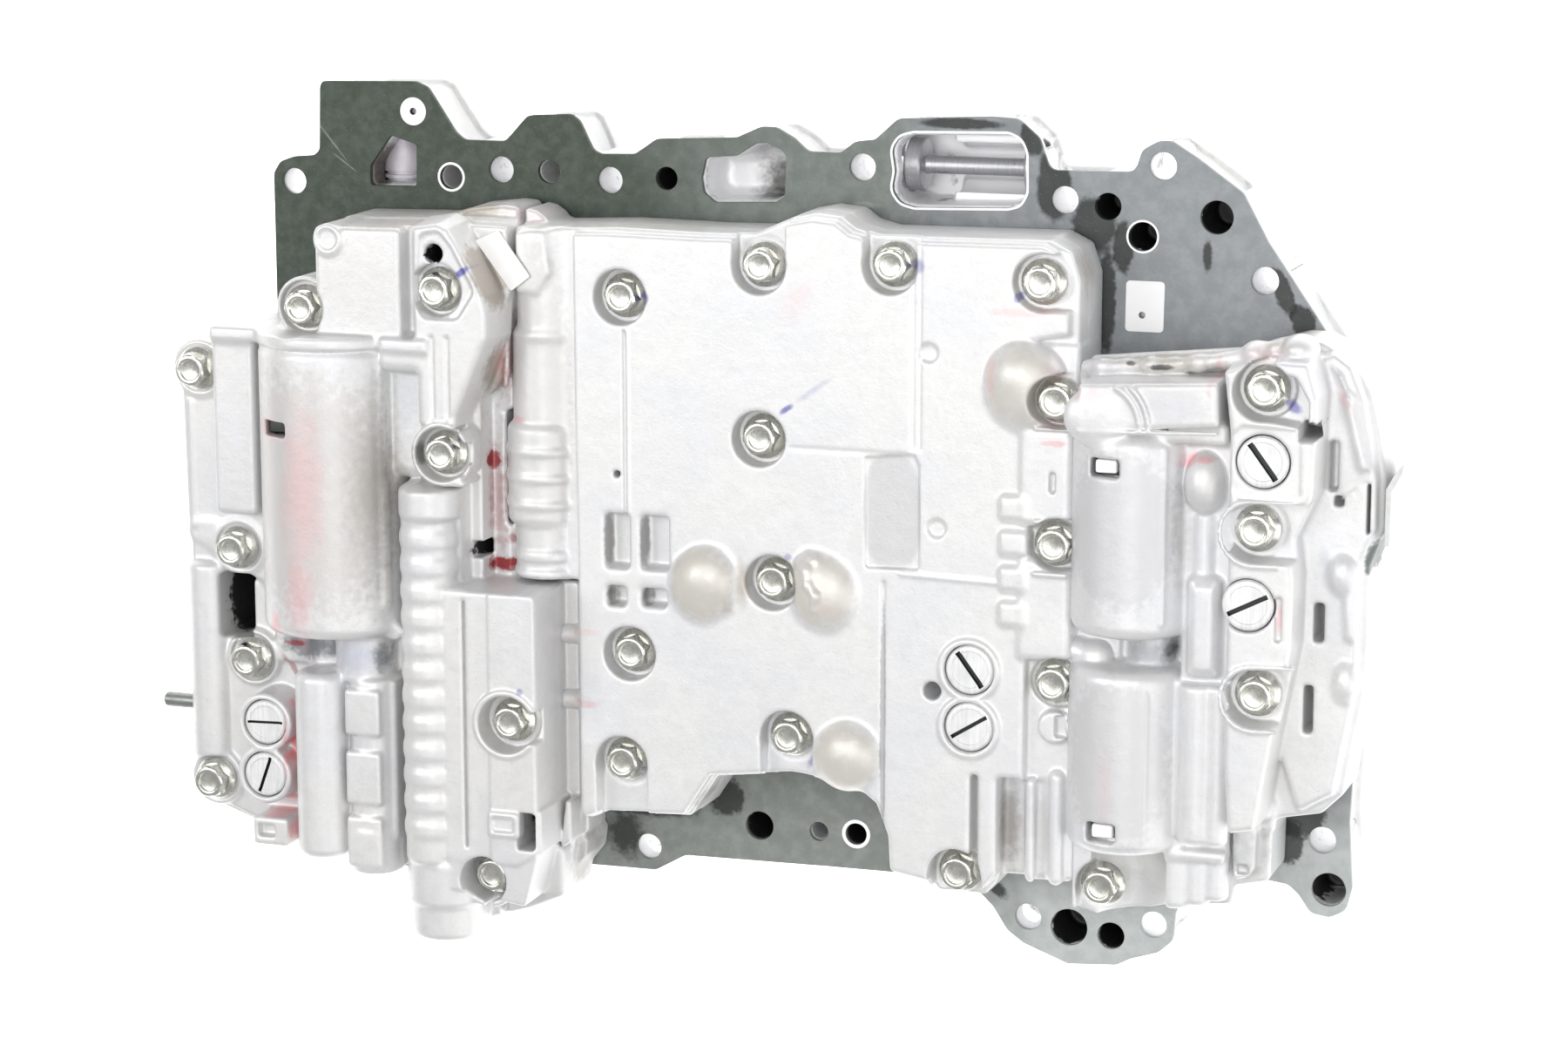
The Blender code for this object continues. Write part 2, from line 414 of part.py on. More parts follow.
adds = [
    prism("c_deck", DECK, 28.0, CENTRE_TOP),
    rod("c_tube_mid", "Y", (-59.7, 41.8), 26, 50.2, 7.1, 14),
    rod("c_tube_high", "Y", (-56.8, 41.6), 49, 77.2, 6.6, 14),
    rod("c_tube_wide", "Y", (-60.2, 41.0), -0.4, 27.6, 9.7, 16),
    rod("c_tube_low", "Y", (-59.6, 41.4), -14.1, 0.5, 8.3, 14),
    prism("c_corner_ledge", [(-64.6, 76.6), (-56.6, 77.2), (-55.4, 68), (-58.6, 60.6), (-64.8, 60.4)], 29, 49.2),
    rod("c_boss_1", "X", (-26.2, 42.6), -53.6, -38, 3.2, 10),
    rod("c_boss_2", "X", (-46.6, 42.6), -53.6, -40, 3.2, 10),
    dome("c_dome_1", -12.9, -12.0, 48.6, 9.2, 6.4),
    dome("c_dome_2", 19.2, -12.4, 48.6, 8.8, 6.2),
    dome("c_dome_3", 25.8, -53.6, 48.6, 8.7, 6.0),
    dome("c_dome_4", 73.2, 45.0, 48.4, 10.6, 6.2, 14),
    box("c_east_deck", (72, -82.6, 29.4), (84.2, 54, 47.0)),
    rod("c_pad_r1", "Z", (80.0, 40.5), 30, 49.0, 4.3, 10),
    box("c_edge_tube", (72.2, 8, 30.2), (84.0, 33.6, 51.4)),
    box("c_edge_tube_2", (72.2, -25, 30.4), (84.0, 0.6, 51.4)),
    rod("c_plug_rim_1", "Z", (58.2, -29.2), 30.6, 50.8, 8.1, 16),
    rod("c_plug_rim_2", "Z", (58.2, -44.0), 30.8, 50.8, 8.1, 16),
]
boolean(lower_body_centre, adds, "UNION")
cuts = []
for index in (9, 13, 14, 15):
    cuts += seat_cuts("centre", index)
for index in (10, 11):
    cuts += seat_cuts("centre", index, slot=(0, 14))
for index in (16, 17):
    cuts += seat_cuts("centre", index, slot=(0, -18))
cuts += seat_cuts("centre", 12, slot=(12, 0)) + seat_cuts("centre", 18, slot=(0, -14))
for index in (19, 20, 25):
    cuts += seat_cuts("centre", index, 6.3, slot=(8, 0))
cuts += [
    rod("c_valve_bore", "Y", (-57.2, 41.0), -16, 22.0, 5.2, 12),
    rod("c_valve_mouth", "Y", (-57.2, 41.0), -30, -8.0, 5.7, 12),
    box("c_rib_groove", (-33.8, 5, 48.8), (-33.0, 52.5, 80)),
    box("c_cell_1", (-39.8, -9.9, 40), (-34.2, 4.5, 80)),
    box("c_cell_2", (-29.4, -9.5, 40.2), (-22.4, 4.6, 80)),
    box("c_cell_3", (-38.8, -19.6, 41), (-34, -14.2, 80)),
    box("c_cell_4", (-29.6, -19.2, 41.2), (-23.4, -14.2, 80)),
    prism("c_recess", [(30, 23.8), (43, 25.2), (45.4, 21), (45.6, -4.2), (30.4, -4.8)], 47.2, 80),
    box("c_step_groove", (10.4, 24.2, 49.1), (30.4, 25.0, 80)),
    box("c_edge_groove", (43.2, 25.0, 48.6), (44.6, 75.4, 80)),
    box("c_slab_groove", (35.4, -84.4, 48.4), (37.0, -5.4, 80)),
    rod("c_mark_1", "Z", (46.9, 50.7), 46.8, 80, 2.2, 10),
    rod("c_mark_2", "Z", (49.5, 6.3), 46.8, 80, 2.2, 10),
    rod("c_small_hole", "Z", (48.4, -35.4), 38, 80, 2.3, 8),
    rod("c_pin_hole", "Z", (-36.6, 15.0), 38.2, 80, 1.0, 6),
    rod("c_plug_hole_1", "Z", (58.2, -29.2), 38.4, 80, 6.7, 12),
    rod("c_plug_hole_2", "Z", (58.2, -44.0), 38.6, 80, 6.7, 12),
    box("c_flute_1", (59.4, -83, 36), (62.0, -56.3, 80)),
    box("c_flute_2", (65.6, -95, 38), (72.4, -56.0, 80)),
]
boolean(lower_body_centre, cuts, "DIFFERENCE")

# ---- lower right body ---------------------------------------------------------------
RIGHT_OUTLINE = [(85.2, 47.5), (96, 49.2), (110, 50.5), (123, 51), (129, 54.6), (138, 57.6), (144.6, 58.2), (150, 53.4),
                 (155, 44), (159, 33), (162, 26), (162.3, 13), (157.8, 2.4), (157.8, -17), (156.4, -31), (154.4, -42),
                 (152.4, -55), (147, -61), (139.8, -64), (139.6, -80), (126.4, -81), (125, -86), (111, -87.4),
                 (103, -90.6), (90, -92), (84.8, -88.4), (84.8, -84)]
RIGHT_OUTLINE = [(max(x, 85.2), y) for x, y in RIGHT_OUTLINE[:-1]] + [(85.2, -84)]
ACC_C = dict(x=100.6, z=46.6, r=14.6, bore=11.4)
ACC_D = dict(x=99.8, z=46.4, r=13.6, bore=10.4)
lower_body_right = prism("lower_body_right", RIGHT_OUTLINE, LOWER_LOW, RIGHT_BASE, False, CAST)
adds = [
    prism("r_head_block", [(86.2, 46.9), (123.4, 49.0), (123.8, 37.4), (86.2, 34.4)], 28, 59.4),
    rod("r_head_barrel", "X", (41.4, 54.0), 92, 123.0, 6.9, 16),
    rod("acc_c_barrel", "Y", (ACC_C["x"], ACC_C["z"]), -16.4, 34.6, ACC_C["r"], 20),
    box("acc_c_wall", (86.2, -16, 28.2), (115.0, 34.2, 46.4)),
    rod("r_neck", "Y", (103.6, 44.0), -26, -15, 5.4, 12),
    box("r_neck_deck", (86.0, -27, 28.4), (118, -14, 45.0)),
    rod("acc_d_barrel", "Y", (ACC_D["x"], ACC_D["z"]), -70.4, -24.4, ACC_D["r"], 20),
    box("acc_d_wall", (86.4, -70, 28.6), (113.2, -24.8, 46.2)),
    prism("r_upper", [(122.6, 51.6), (137.6, 54.4), (143.8, 55.2), (147.4, 46), (147.6, 20), (143, 13), (142.6, -18),
                      (140, -38), (136.4, -63), (126, -66), (124.4, -46), (124.2, 36)], 28.8, RIGHT_TOP),
    rod("r_tube_1", "Y", (120.6, 52.0), -23.0, 24, 4.2, 12),
    dome("r_dome", 119.4, 26.6, 54, 5.4, 6.4, 10),
    box("r_mid_deck", (112.6, -64, 29.0), (126, 36, 52.0)),
    rod("r_tube_2", "Y", (121.4, 51.4), -66, -26.6, 5.2, 12),
    rod("r_tube_3", "Y", (117.6, 46.2), -86.6, -66, 6.8, 14),
    rod("r_tube_4", "Y", (133.2, 47.0), -79.8, -62, 6.7, 14),
    prism("r_lug", [(86.0, -70), (111, -72), (110.4, -86.6), (102.6, -90), (90.2, -91.4), (86.2, -88)], 29.2, 42.0),
    rod("r_lug_boss", "Z", (92.0, -83.5), 29.4, 42.0, 7.2, 12),
    prism("r_side_deck", [(143, 52), (149.4, 49.4), (154, 42), (158, 31), (160.6, 25), (160.8, 12), (156, 1.4),
                          (156.2, -18), (154.6, -32), (152.6, -43), (150.6, -55), (141, -60), (138, -46), (140, 14)], 29.6, 46.0),
    rod("r_bump_1", "Y", (101.5, 42.0), 47, 52.0, 3.2, 10),
    rod("r_bump_2", "Y", (108.5, 40.0), 47, 53.0, 3.0, 10),
    rod("r_bump_3", "Y", (139.8, 46.0), 52, 58.6, 4.6, 12),
]
boolean(lower_body_right, adds, "UNION")
cuts = []
for index in (21, 22, 23):
    cuts += seat_cuts("right", index, slot=(22, 0))
cuts += seat_cuts("right", 24, 6.3, slot=(0, -14))
cuts += [
    rod("acc_c_bore", "Y", (ACC_C["x"], ACC_C["z"]), -13.2, 34.0, ACC_C["bore"], 16),
    box("acc_c_mouth", (95, 33, 35.4), (106, 60, 37.4)),
    box("acc_c_key_slot", (91.6, 23.8, 46), (100.0, 29.2, 80)),
    rod("acc_d_bore", "Y", (ACC_D["x"], ACC_D["z"]), -100, -27.6, ACC_D["bore"], 16),
    box("acc_d_key_slot", (92.0, -67.8, 46), (100.4, -62.4, 80)),
    rod("r_plug_hole_1", "Z", (134.2, 29.4), 46, 80, 6.7, 12),
    rod("r_plug_hole_2", "Z", (131.4, -6.0), 46.2, 80, 6.7, 12),
    box("r_slot_1", (147.8, 22.6, 36), (150.6, 34, 80)),
    box("r_slot_2", (145.0, -16.0, 36.2), (148.2, -6.4, 80)),
    box("r_slot_3", (142.8, -39.2, 36.4), (146.2, -28.2, 80)),
    box("r_cell", (137.6, -16, 54), (140.6, -4, 80)),
    rod("r_tube_4_mouth", "Z", (129.6, -76.4), 46, 80, 1.8, 8),
]
boolean(lower_body_right, cuts, "DIFFERENCE")


# ---- accumulators: piston, spring, end plug and retaining key in each bore ----------
def coil(name, x, z, y0, y1, radius, wire, turns, mat):
    curve = bpy.data.curves.new(name, "CURVE")
    curve.dimensions = "3D"
    curve.bevel_depth = wire * MM
    curve.bevel_resolution = 1
    curve.use_fill_caps = True
    spline = curve.splines.new("POLY")
    steps = int(turns * 8) + 1
    spline.points.add(steps - 1)
    for i, point in enumerate(spline.points):
        turn = math.tau * i / 8
        along = y0 + wire * 1.2 + (y1 - y0 - 2.4 * wire) * i / (steps - 1)
        point.co = (radius * math.cos(turn) * MM, (along - y0) * MM, radius * math.sin(turn) * MM, 1)
    curve.materials.append(mat)
    obj = link(bpy.data.objects.new(name, curve), False)
    obj.location = (x * MM, y0 * MM, z * MM)
    return obj


def accumulator(tag, acc, bore_sides, mouth, blind, plug_in, key, piston_length, wall):
    """mouth, blind and plug_in are along Y; key is the retaining key's box. The bore opens towards the mouth."""
    side = 1 if mouth > blind else -1
    r = acc["bore"] - 0.35
    low, high = min(mouth, plug_in), max(mouth, plug_in)
    plug = turned(f"accumulator_plug_{tag}", "Y", (acc["x"], acc["z"]), low,
                  [(0, r - 0.6), (0.6, r), (high - low - 0.6, r), (high - low, r - 0.6)], MACHINED, bore_sides, 0)
    slot = box(f"plug_slot_{tag}", (key[0][0] - 0.6, key[0][1] - 0.5, key[0][2] - 0.5), (key[1][0] + 0.6, key[1][1] + 0.5, 90))
    boolean(plug, [slot], "DIFFERENCE")
    box(f"retaining_key_{tag}", key[0], key[1], False, DARK_STEEL)
    top = plug_in - side * 0.6
    end = top - side * piston_length
    low, high = min(top, end), max(top, end)
    length = high - low
    if side > 0:    # hollow towards the blind end
        profile = [(0, r - 3.0), (0, r - 0.5), (0.5, r), (length - 0.8, r), (length, r - 0.8)]
        hollow = rod(f"piston_hollow_{tag}", "Y", (acc["x"], acc["z"]), low - 4, low + length * 0.6, r - 2.2, bore_sides)
        spring_low, spring_high = blind + GAP, low + length * 0.6 - GAP
    else:
        profile = [(0, r - 0.8), (0.8, r), (length - 0.5, r), (length, r - 0.5), (length, r - 3.0)]
        hollow = rod(f"piston_hollow_{tag}", "Y", (acc["x"], acc["z"]), high - length * 0.6, high + 4, r - 2.2, bore_sides)
        spring_low, spring_high = high - length * 0.6 + GAP, blind - GAP
    profile = [p for i, p in enumerate(profile) if not (side > 0 and i == 0) and not (side < 0 and i == len(profile) - 1)]
    piston = turned(f"accumulator_piston_{tag}", "Y", (acc["x"], acc["z"]), low, profile, MACHINED, bore_sides, length / 2)
    boolean(piston, [hollow], "DIFFERENCE")
    coil(f"accumulator_spring_{tag}", acc["x"], acc["z"], spring_low, spring_high, r - 2.2 - wall - 0.6, wall, 4, SPRING_STEEL)


accumulator("a", ACC_A, 20, 43.6, -27.5, 17.4, ((-129.2, 22.9, 50), (-123.6, 26.1, 62.0)), 17.0, 1.5)
accumulator("c", ACC_C, 16, 31.8, -13.2, 20.4, ((92.8, 24.6, 48), (98.6, 28.4, 58.2)), 13.0, 1.1)
accumulator("d", ACC_D, 16, -68.6, -27.6, -58.0, ((93.2, -67.0, 48), (99.0, -63.2, 57.0)), 12.0, 1.1)

# ---- spool valves with their end plugs ----------------------------------------------
turned("long_spool_valve", "Y", (-85.6, 55.0), -84.0, [
    (0, 2.4), (3, 2.4), (3, 4.85), (12, 4.85), (12, 2.5), (22, 2.5), (22, 4.85), (33, 4.85), (33, 2.5),
    (47, 2.5), (47, 4.85), (58, 4.85), (58, 2.5), (70, 2.5), (70, 4.85), (80, 4.85)], ANODISED, 12, 40)
turned("long_spool_plug", "Y", (-85.6, 55.0), -109.0, [(0, 5.6), (0.6, 6.2), (10.4, 6.2), (10.4, 4.6), (17.6, 4.6)], MACHINED, 12, 0)
turned("short_spool_valve", "Y", (-105.0, 52.6), -80.0, [
    (0, 2.0), (2, 2.0), (2, 3.65), (9, 3.65), (9, 1.8), (19, 1.8), (19, 3.65), (28, 3.65)], ANODISED, 12, 14)
turned("short_spool_plug", "Y", (-105.0, 52.6), -94.6, [(0, 4.0), (0.6, 4.6), (6.8, 4.6), (6.8, 3.5), (9.4, 3.5)], MACHINED, 12, 0)
turned("centre_spool_valve", "Y", (-57.2, 41.0), -5.0, [
    (0, 4.85), (6, 4.85), (6, 2.4), (14, 2.4), (14, 4.85), (22, 4.85)], ANODISED, 12, 11)
turned("centre_spool_plug", "Y", (-57.2, 41.0), -14.2, [(0, 4.7), (0.6, 5.3), (5.4, 5.3)], MACHINED, 12, 0)

# ---- slotted screw plugs ------------------------------------------------------------
PLUG_SPOTS = [  # x, y, top face, slot direction in degrees
    (-135.1, -56.9, 57.4, 2), (-135.5, -71.3, 57.4, 70), (58.2, -29.2, 49.9, -53), (58.2, -44.0, 49.9, 32),
    (134.2, 29.4, 59.4, -53), (131.4, -6.0, 59.4, 27)]
for number, (x, y, top, angle) in enumerate(PLUG_SPOTS, 1):
    r = 5.75 if number < 3 else 6.15
    plug = turned(f"slotted_plug_{number}", "Z", (x, y), top - 9.0, [(0, r - 0.8), (0.8, r), (8.6, r), (9.0, r - 0.4)], MACHINED, 12, 0)
    slot = box(f"plug_slot_cut_{number}", (-9, -0.75, top - 1.6), (9, 0.75, top + 3))
    slot.rotation_euler = (0, 0, math.radians(angle))
    slot.location = ((x + DATUM_X) * MM, y * MM, 0)
    boolean(plug, [slot], "DIFFERENCE")


# ---- flange screws ------------------------------------------------------------------
def screw_mesh(grip):
    """Hexagon flange screw of a given grip, its seat at z = 0."""
    body = turned("screw_blank", "Z", (0, 0), 0, [(-grip, SHANK_R), (0.4, SHANK_R)], ZINC, 8, 0)
    flange = rod("screw_flange", "Z", (0, 0), 0.0, FLANGE_H, FLANGE_R, 12)
    head = rod("screw_hex", "Z", (0, 0), FLANGE_H - 0.4, HEAD_H, HEAD_R, 6)
    boolean(body, [flange, head], "UNION")
    for tool in (flange, head):
        tool.location = (0, 0, 0)
    body.parent = None
    bpy.context.view_layer.update()
    graph = bpy.context.evaluated_depsgraph_get()
    made = bpy.data.meshes.new_from_object(body.evaluated_get(graph))
    for tool in (body, flange, head):
        bpy.data.objects.remove(tool, do_unlink=True)
    made.name = f"flange_screw_{int(grip)}"
    made.shade_smooth()
    made.set_sharp_from_angle(angle=math.radians(35))
    return made


SCREW_MESHES = {}
for number, (x, y, seat) in enumerate(SCREWS, 1):
    grip = seat - SHANK_FOOT
    if grip not in SCREW_MESHES:
        SCREW_MESHES[grip] = screw_mesh(grip)
    screw = link(bpy.data.objects.new(f"flange_bolt_{number:02d}", SCREW_MESHES[grip]), False)
    screw.location = (x * MM, y * MM, (seat + GAP) * MM)

# ---- label, side stop pin and side bracket ------------------------------------------
prism("blank_label", [(-75.0, 74.0), (-68.6, 76.8), (-59.9, 65.3), (-65.2, 61.3)], 49.8, 50.2, False, PAPER)
turned("side_stop_pin", "X", (-56.2, 44.6), -171.3, [(0, 1.5), (0.5, 2.0), (15.5, 2.0)], DARK_STEEL, 12, 0)
prism("side_bracket", [(162.6, 26.0), (164.4, 29.0), (165.3, 29.8), (165.1, 27.2), (163.9, 24.6), (163.9, 3.0), (162.6, 3.0)],
      29.0, 46.0, False, DARK_STEEL)

for obj in PARTS.objects:
    if obj.type == "MESH" and not obj.name.startswith("flange_bolt"):
        obj.data.shade_smooth()
        obj.data.set_sharp_from_angle(angle=math.radians(35))
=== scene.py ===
import math

import bpy
import bmesh
import numpy as np
from mathutils import Matrix, Vector


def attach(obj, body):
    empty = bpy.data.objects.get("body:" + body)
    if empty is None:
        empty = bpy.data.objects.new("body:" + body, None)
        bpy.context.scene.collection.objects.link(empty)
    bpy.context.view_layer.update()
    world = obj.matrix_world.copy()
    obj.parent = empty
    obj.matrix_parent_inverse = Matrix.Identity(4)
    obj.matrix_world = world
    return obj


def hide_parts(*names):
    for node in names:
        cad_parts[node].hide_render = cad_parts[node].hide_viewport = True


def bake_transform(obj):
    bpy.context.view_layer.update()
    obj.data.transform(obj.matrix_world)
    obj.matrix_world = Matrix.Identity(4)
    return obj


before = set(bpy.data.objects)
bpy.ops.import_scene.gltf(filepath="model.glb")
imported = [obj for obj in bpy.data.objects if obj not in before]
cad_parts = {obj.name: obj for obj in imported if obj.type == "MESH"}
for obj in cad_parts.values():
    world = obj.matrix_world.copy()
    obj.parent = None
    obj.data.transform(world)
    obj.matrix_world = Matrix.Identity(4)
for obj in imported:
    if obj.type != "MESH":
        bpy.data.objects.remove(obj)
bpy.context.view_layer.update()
MM = 0.001
DX = 3.0                     # layout datum to the row's origin, mm
ROOT = "valve_body"
F4 = np.float32

# =====================================================================================
# Cast bodies are carved as a distance field on a grid, in layout millimetres, and
# turned into a mesh. The field gives every cast edge its fillet.
# =====================================================================================


def inset(outline, distance):
    count = len(outline)
    area = sum(a[0] * b[1] - b[0] * a[1] for a, b in zip(outline, outline[1:] + outline[:1])) / 2
    side = 1 if area > 0 else -1
    moved = []
    for i, (x, y) in enumerate(outline):
        before = Vector((x - outline[i - 1][0], y - outline[i - 1][1])).normalized()
        after = Vector((outline[(i + 1) % count][0] - x, outline[(i + 1) % count][1] - y)).normalized()
        one, two = Vector((-before.y, before.x)) * side, Vector((-after.y, after.x)) * side
        mitre = one + two
        scale = distance / max(0.35, mitre.length_squared / 2)
        moved.append((x + mitre.x * scale, y + mitre.y * scale))
    return moved


def rounded(outline, radius, steps=4):
    """The outline with every corner turned into an arc of up to that radius."""
    done = []
    count = len(outline)
    for i, point in enumerate(outline):
        p = Vector(point)
        a, b = Vector(outline[i - 1]) - p, Vector(outline[(i + 1) % count]) - p
        turn = math.pi - a.angle(b, math.pi)
        if turn < 0.06:
            done.append((p.x, p.y))
            continue
        reach = min(radius * math.tan(turn / 2), a.length * 0.45, b.length * 0.45)
        start, end = p + a.normalized() * reach, p + b.normalized() * reach
        n = max(2, int(steps * turn / 1.2) + 1)
        for k in range(n + 1):
            t = k / n
            q = start * (1 - t) ** 2 + p * 2 * t * (1 - t) + end * t * t
            done.append((q.x, q.y))
    return done


def flat_distance(X, Y, outline):
    """Signed distance to a closed outline, on the flat grid X, Y."""
    pts = np.array(outline, F4)
    best = np.full(np.broadcast(X, Y).shape, 1e9, F4)
    inside = np.zeros(best.shape, bool)
    for (ax, ay), (bx, by) in zip(pts, np.roll(pts, -1, 0)):
        ex, ey = bx - ax, by - ay
        wx, wy = X - ax, Y - ay
        t = np.clip((wx * ex + wy * ey) / (ex * ex + ey * ey + 1e-9), 0, 1)
        best = np.minimum(best, (wx - ex * t) ** 2 + (wy - ey * t) ** 2)
        crosses = (ay > Y) != (by > Y)
        at = ax + (Y - ay) * ex / (ey if abs(ey) > 1e-9 else 1e-9)
        inside ^= crosses & (X < at)
    best = np.sqrt(best)
    return np.where(inside, -best, best)


def joined(a, b, r):
    """Two-sided limit of a solid with its edge rounded by r."""
    a, b = a + r, b + r
    return np.minimum(np.maximum(a, b), 0) + np.sqrt(np.maximum(a, 0) ** 2 + np.maximum(b, 0) ** 2) - r


class Field:
    def __init__(self, low, high, step):
        self.h = step
        self.low = np.array(low, float) - 3 * step
        self.n = np.ceil((np.array(high, float) + 3 * step - self.low) / step).astype(int) + 1
        axes = [(self.low[i] + np.arange(self.n[i]) * step).astype(F4) for i in range(3)]
        self.X, self.Y, self.Z = axes[0][:, None, None], axes[1][None, :, None], axes[2][None, None, :]
        self.d = np.full(tuple(self.n), 6.0, F4)

    def window(self, low, high, pad):
        lo = np.clip(np.floor((np.array(low) - pad - self.low) / self.h).astype(int), 0, self.n - 1)
        hi = np.clip(np.ceil((np.array(high) + pad - self.low) / self.h).astype(int) + 1, lo + 1, self.n)
        cut = tuple(slice(a, b) for a, b in zip(lo, hi))
        return cut, self.X[cut[0]], self.Y[:, cut[1]], self.Z[:, :, cut[2]]

    def apply(self, low, high, function, k, add):
        cut, X, Y, Z = self.window(low, high, k + 2.5 * self.h)
        p = function(X, Y, Z).astype(F4)
        a = self.d[cut]
        if add:
            h = np.clip(0.5 + 0.5 * (a - p) / max(k, 1e-3), 0, 1)
            self.d[cut] = a + (p - a) * h - k * h * (1 - h)
        else:
            p = -p
            h = np.clip(0.5 + 0.5 * (p - a) / max(k, 1e-3), 0, 1)
            self.d[cut] = a + (p - a) * h + k * h * (1 - h)

    # ---- solids: the last argument says whether the solid is added or cut
    def box(self, low, high, r=0.9, k=1.0, add=True, turn=0.0):
        c = (np.array(low) + np.array(high)) / 2
        s = (np.array(high) - np.array(low)) / 2
        r = min(r, float(s.min()) * 0.98)
        ca, sa = math.cos(math.radians(turn)), math.sin(math.radians(turn))

        def f(X, Y, Z):
            x, y = X - c[0], Y - c[1]
            if turn:
                x, y = x * ca + y * sa, y * ca - x * sa
            qx, qy, qz = np.abs(x) - s[0] + r, np.abs(y) - s[1] + r, np.abs(Z - c[2]) - s[2] + r
            out = np.sqrt(np.maximum(qx, 0) ** 2 + np.maximum(qy, 0) ** 2 + np.maximum(qz, 0) ** 2)
            return out + np.minimum(np.maximum(np.maximum(qx, qy), qz), 0) - r
        reach = float(max(s[0], s[1])) * (1.5 if turn else 1)
        lo, hi = (c - [reach, reach, s[2]], c + [reach, reach, s[2]]) if turn else (low, high)
        self.apply(lo, hi, f, k, add)

    def rod(self, axis, centre, start, end, radius, r=1.2, k=1.4, add=True, end_radius=None):
        r = min(r, radius * 0.95, (end - start) * 0.49)
        mid, half = (start + end) / 2, (end - start) / 2
        big = max(radius, end_radius or 0)

        def f(X, Y, Z):
            along, u, v = {"X": (X, Y, Z), "Y": (Y, X, Z), "Z": (Z, X, Y)}[axis]
            rr = radius if end_radius is None else radius + (end_radius - radius) * np.clip((along - start) / (end - start), 0, 1)
            return joined(np.sqrt((u - centre[0]) ** 2 + (v - centre[1]) ** 2) - rr, np.abs(along - mid) - half, r)
        lo = {"X": (start, centre[0] - big, centre[1] - big), "Y": (centre[0] - big, start, centre[1] - big), "Z": (centre[0] - big, centre[1] - big, start)}[axis]
        hi = {"X": (end, centre[0] + big, centre[1] + big), "Y": (centre[0] + big, end, centre[1] + big), "Z": (centre[0] + big, centre[1] + big, end)}[axis]
        self.apply(lo, hi, f, k, add)

    def prism(self, outline, low, high, r=0.9, k=1.0, add=True, draft=1.5, corner=1.2):
        pts = np.array(outline, float)
        rim = inset(outline, corner) if corner else outline
        slope = math.tan(math.radians(draft))

        def f(X, Y, Z):
            flat = flat_distance(X[:, :, 0], Y[:, :, 0], rim)[:, :, None] - corner
            side = flat + (Z - low) * slope if add else flat - (Z - high) * slope * 0
            return joined(side, np.abs(Z - (low + high) / 2) - (high - low) / 2, r)
        self.apply((*pts.min(0), low), (*pts.max(0), high), f, k, add)

    def dome(self, x, y, z, radius, height, k=1.2, add=True, ry=None):
        s = np.array([radius, ry or radius, height], float)

        def f(X, Y, Z):
            a, b, c = (X - x), (Y - y), (Z - z)
            k0 = np.sqrt((a / s[0]) ** 2 + (b / s[1]) ** 2 + (c / s[2]) ** 2)
            k1 = np.sqrt((a / s[0] ** 2) ** 2 + (b / s[1] ** 2) ** 2 + (c / s[2] ** 2) ** 2) + 1e-6
            return k0 * (k0 - 1) / k1
        self.apply((x - s[0], y - s[1], z - s[2]), (x + s[0], y + s[1], z + s[2]), f, k, add)

    def bar(self, p0, p1, radius, k=1.0, add=True, flat=1.0):
        """A round-ended bar between two points. flat stretches its section upwards."""
        a, b = np.array(p0, float), np.array(p1, float)
        e = b - a
        n = float(e @ e) + 1e-9

        def f(X, Y, Z):
            t = np.clip(((X - a[0]) * e[0] + (Y - a[1]) * e[1] + (Z - a[2]) * e[2]) / n, 0, 1)
            return np.sqrt((X - a[0] - t * e[0]) ** 2 + (Y - a[1] - t * e[1]) ** 2 + ((Z - a[2] - t * e[2]) / flat) ** 2) - radius
        lo, hi = np.minimum(a, b) - radius * max(flat, 1), np.maximum(a, b) + radius * max(flat, 1)
        self.apply(lo, hi, f, k, add)

    def tube_hole(self, axis, centre, start, end, radius, r=0.3, k=0.5):
        self.rod(axis, centre, start, end, radius, r, k, False)

    # ---- mesh
    def mesh(self):
        d = self.d
        s = d < 0
        count = np.zeros(tuple(self.n - 1), np.int8)
        corners = [(i, j, k) for i in (0, 1) for j in (0, 1) for k in (0, 1)]

        def at(a, i, j, k):
            return a[i:a.shape[0] - 1 + i, j:a.shape[1] - 1 + j, k:a.shape[2] - 1 + k]
        for c in corners:
            count += at(s, *c)
        cell = np.argwhere((count > 0) & (count < 8))
        ids = np.full(tuple(self.n - 1), -1, np.int32)
        ids[tuple(cell.T)] = np.arange(len(cell), dtype=np.int32)
        value = {c: d[cell[:, 0] + c[0], cell[:, 1] + c[1], cell[:, 2] + c[2]] for c in corners}
        total = np.zeros((len(cell), 3), F4)
        hits = np.zeros(len(cell), F4)
        for a in corners:
            for axis in range(3):
                if a[axis]:
                    continue
                b = tuple(1 if i == axis else a[i] for i in range(3))
                va, vb = value[a], value[b]
                m = (va < 0) != (vb < 0)
                t = np.where(m, va / np.where(m, va - vb, 1), 0)
                p = np.repeat(np.array(a, F4)[None], len(cell), 0)
                p[:, axis] += t
                total += np.where(m[:, None], p, 0)
                hits += m
        points = (cell + total / hits[:, None]) * self.h + self.low
        quads = []
        for axis in range(3):
            u, v = [(1, 2), (2, 0), (0, 1)][axis]
            lo = [slice(1, -1)] * 3
            lo[axis] = slice(0, -1)
            hi = list(lo)
            hi[axis] = slice(1, None)
            a, b = s[tuple(lo)], s[tuple(hi)]
            for flip in (False, True):
                edge = np.argwhere(a & ~b if not flip else ~a & b)
                off = np.ones(3, int)
                off[axis] = 0
                e = edge + off
                ring = []
                for du, dv in ((0, 0), (1, 0), (1, 1), (0, 1)):
                    q = e.copy()
                    q[:, u] -= du
                    q[:, v] -= dv
                    ring.append(ids[q[:, 0], q[:, 1], q[:, 2]])
                ring = np.stack(ring, 1)
                quads.append(ring[:, ::-1] if flip else ring)
        return points, np.concatenate(quads)

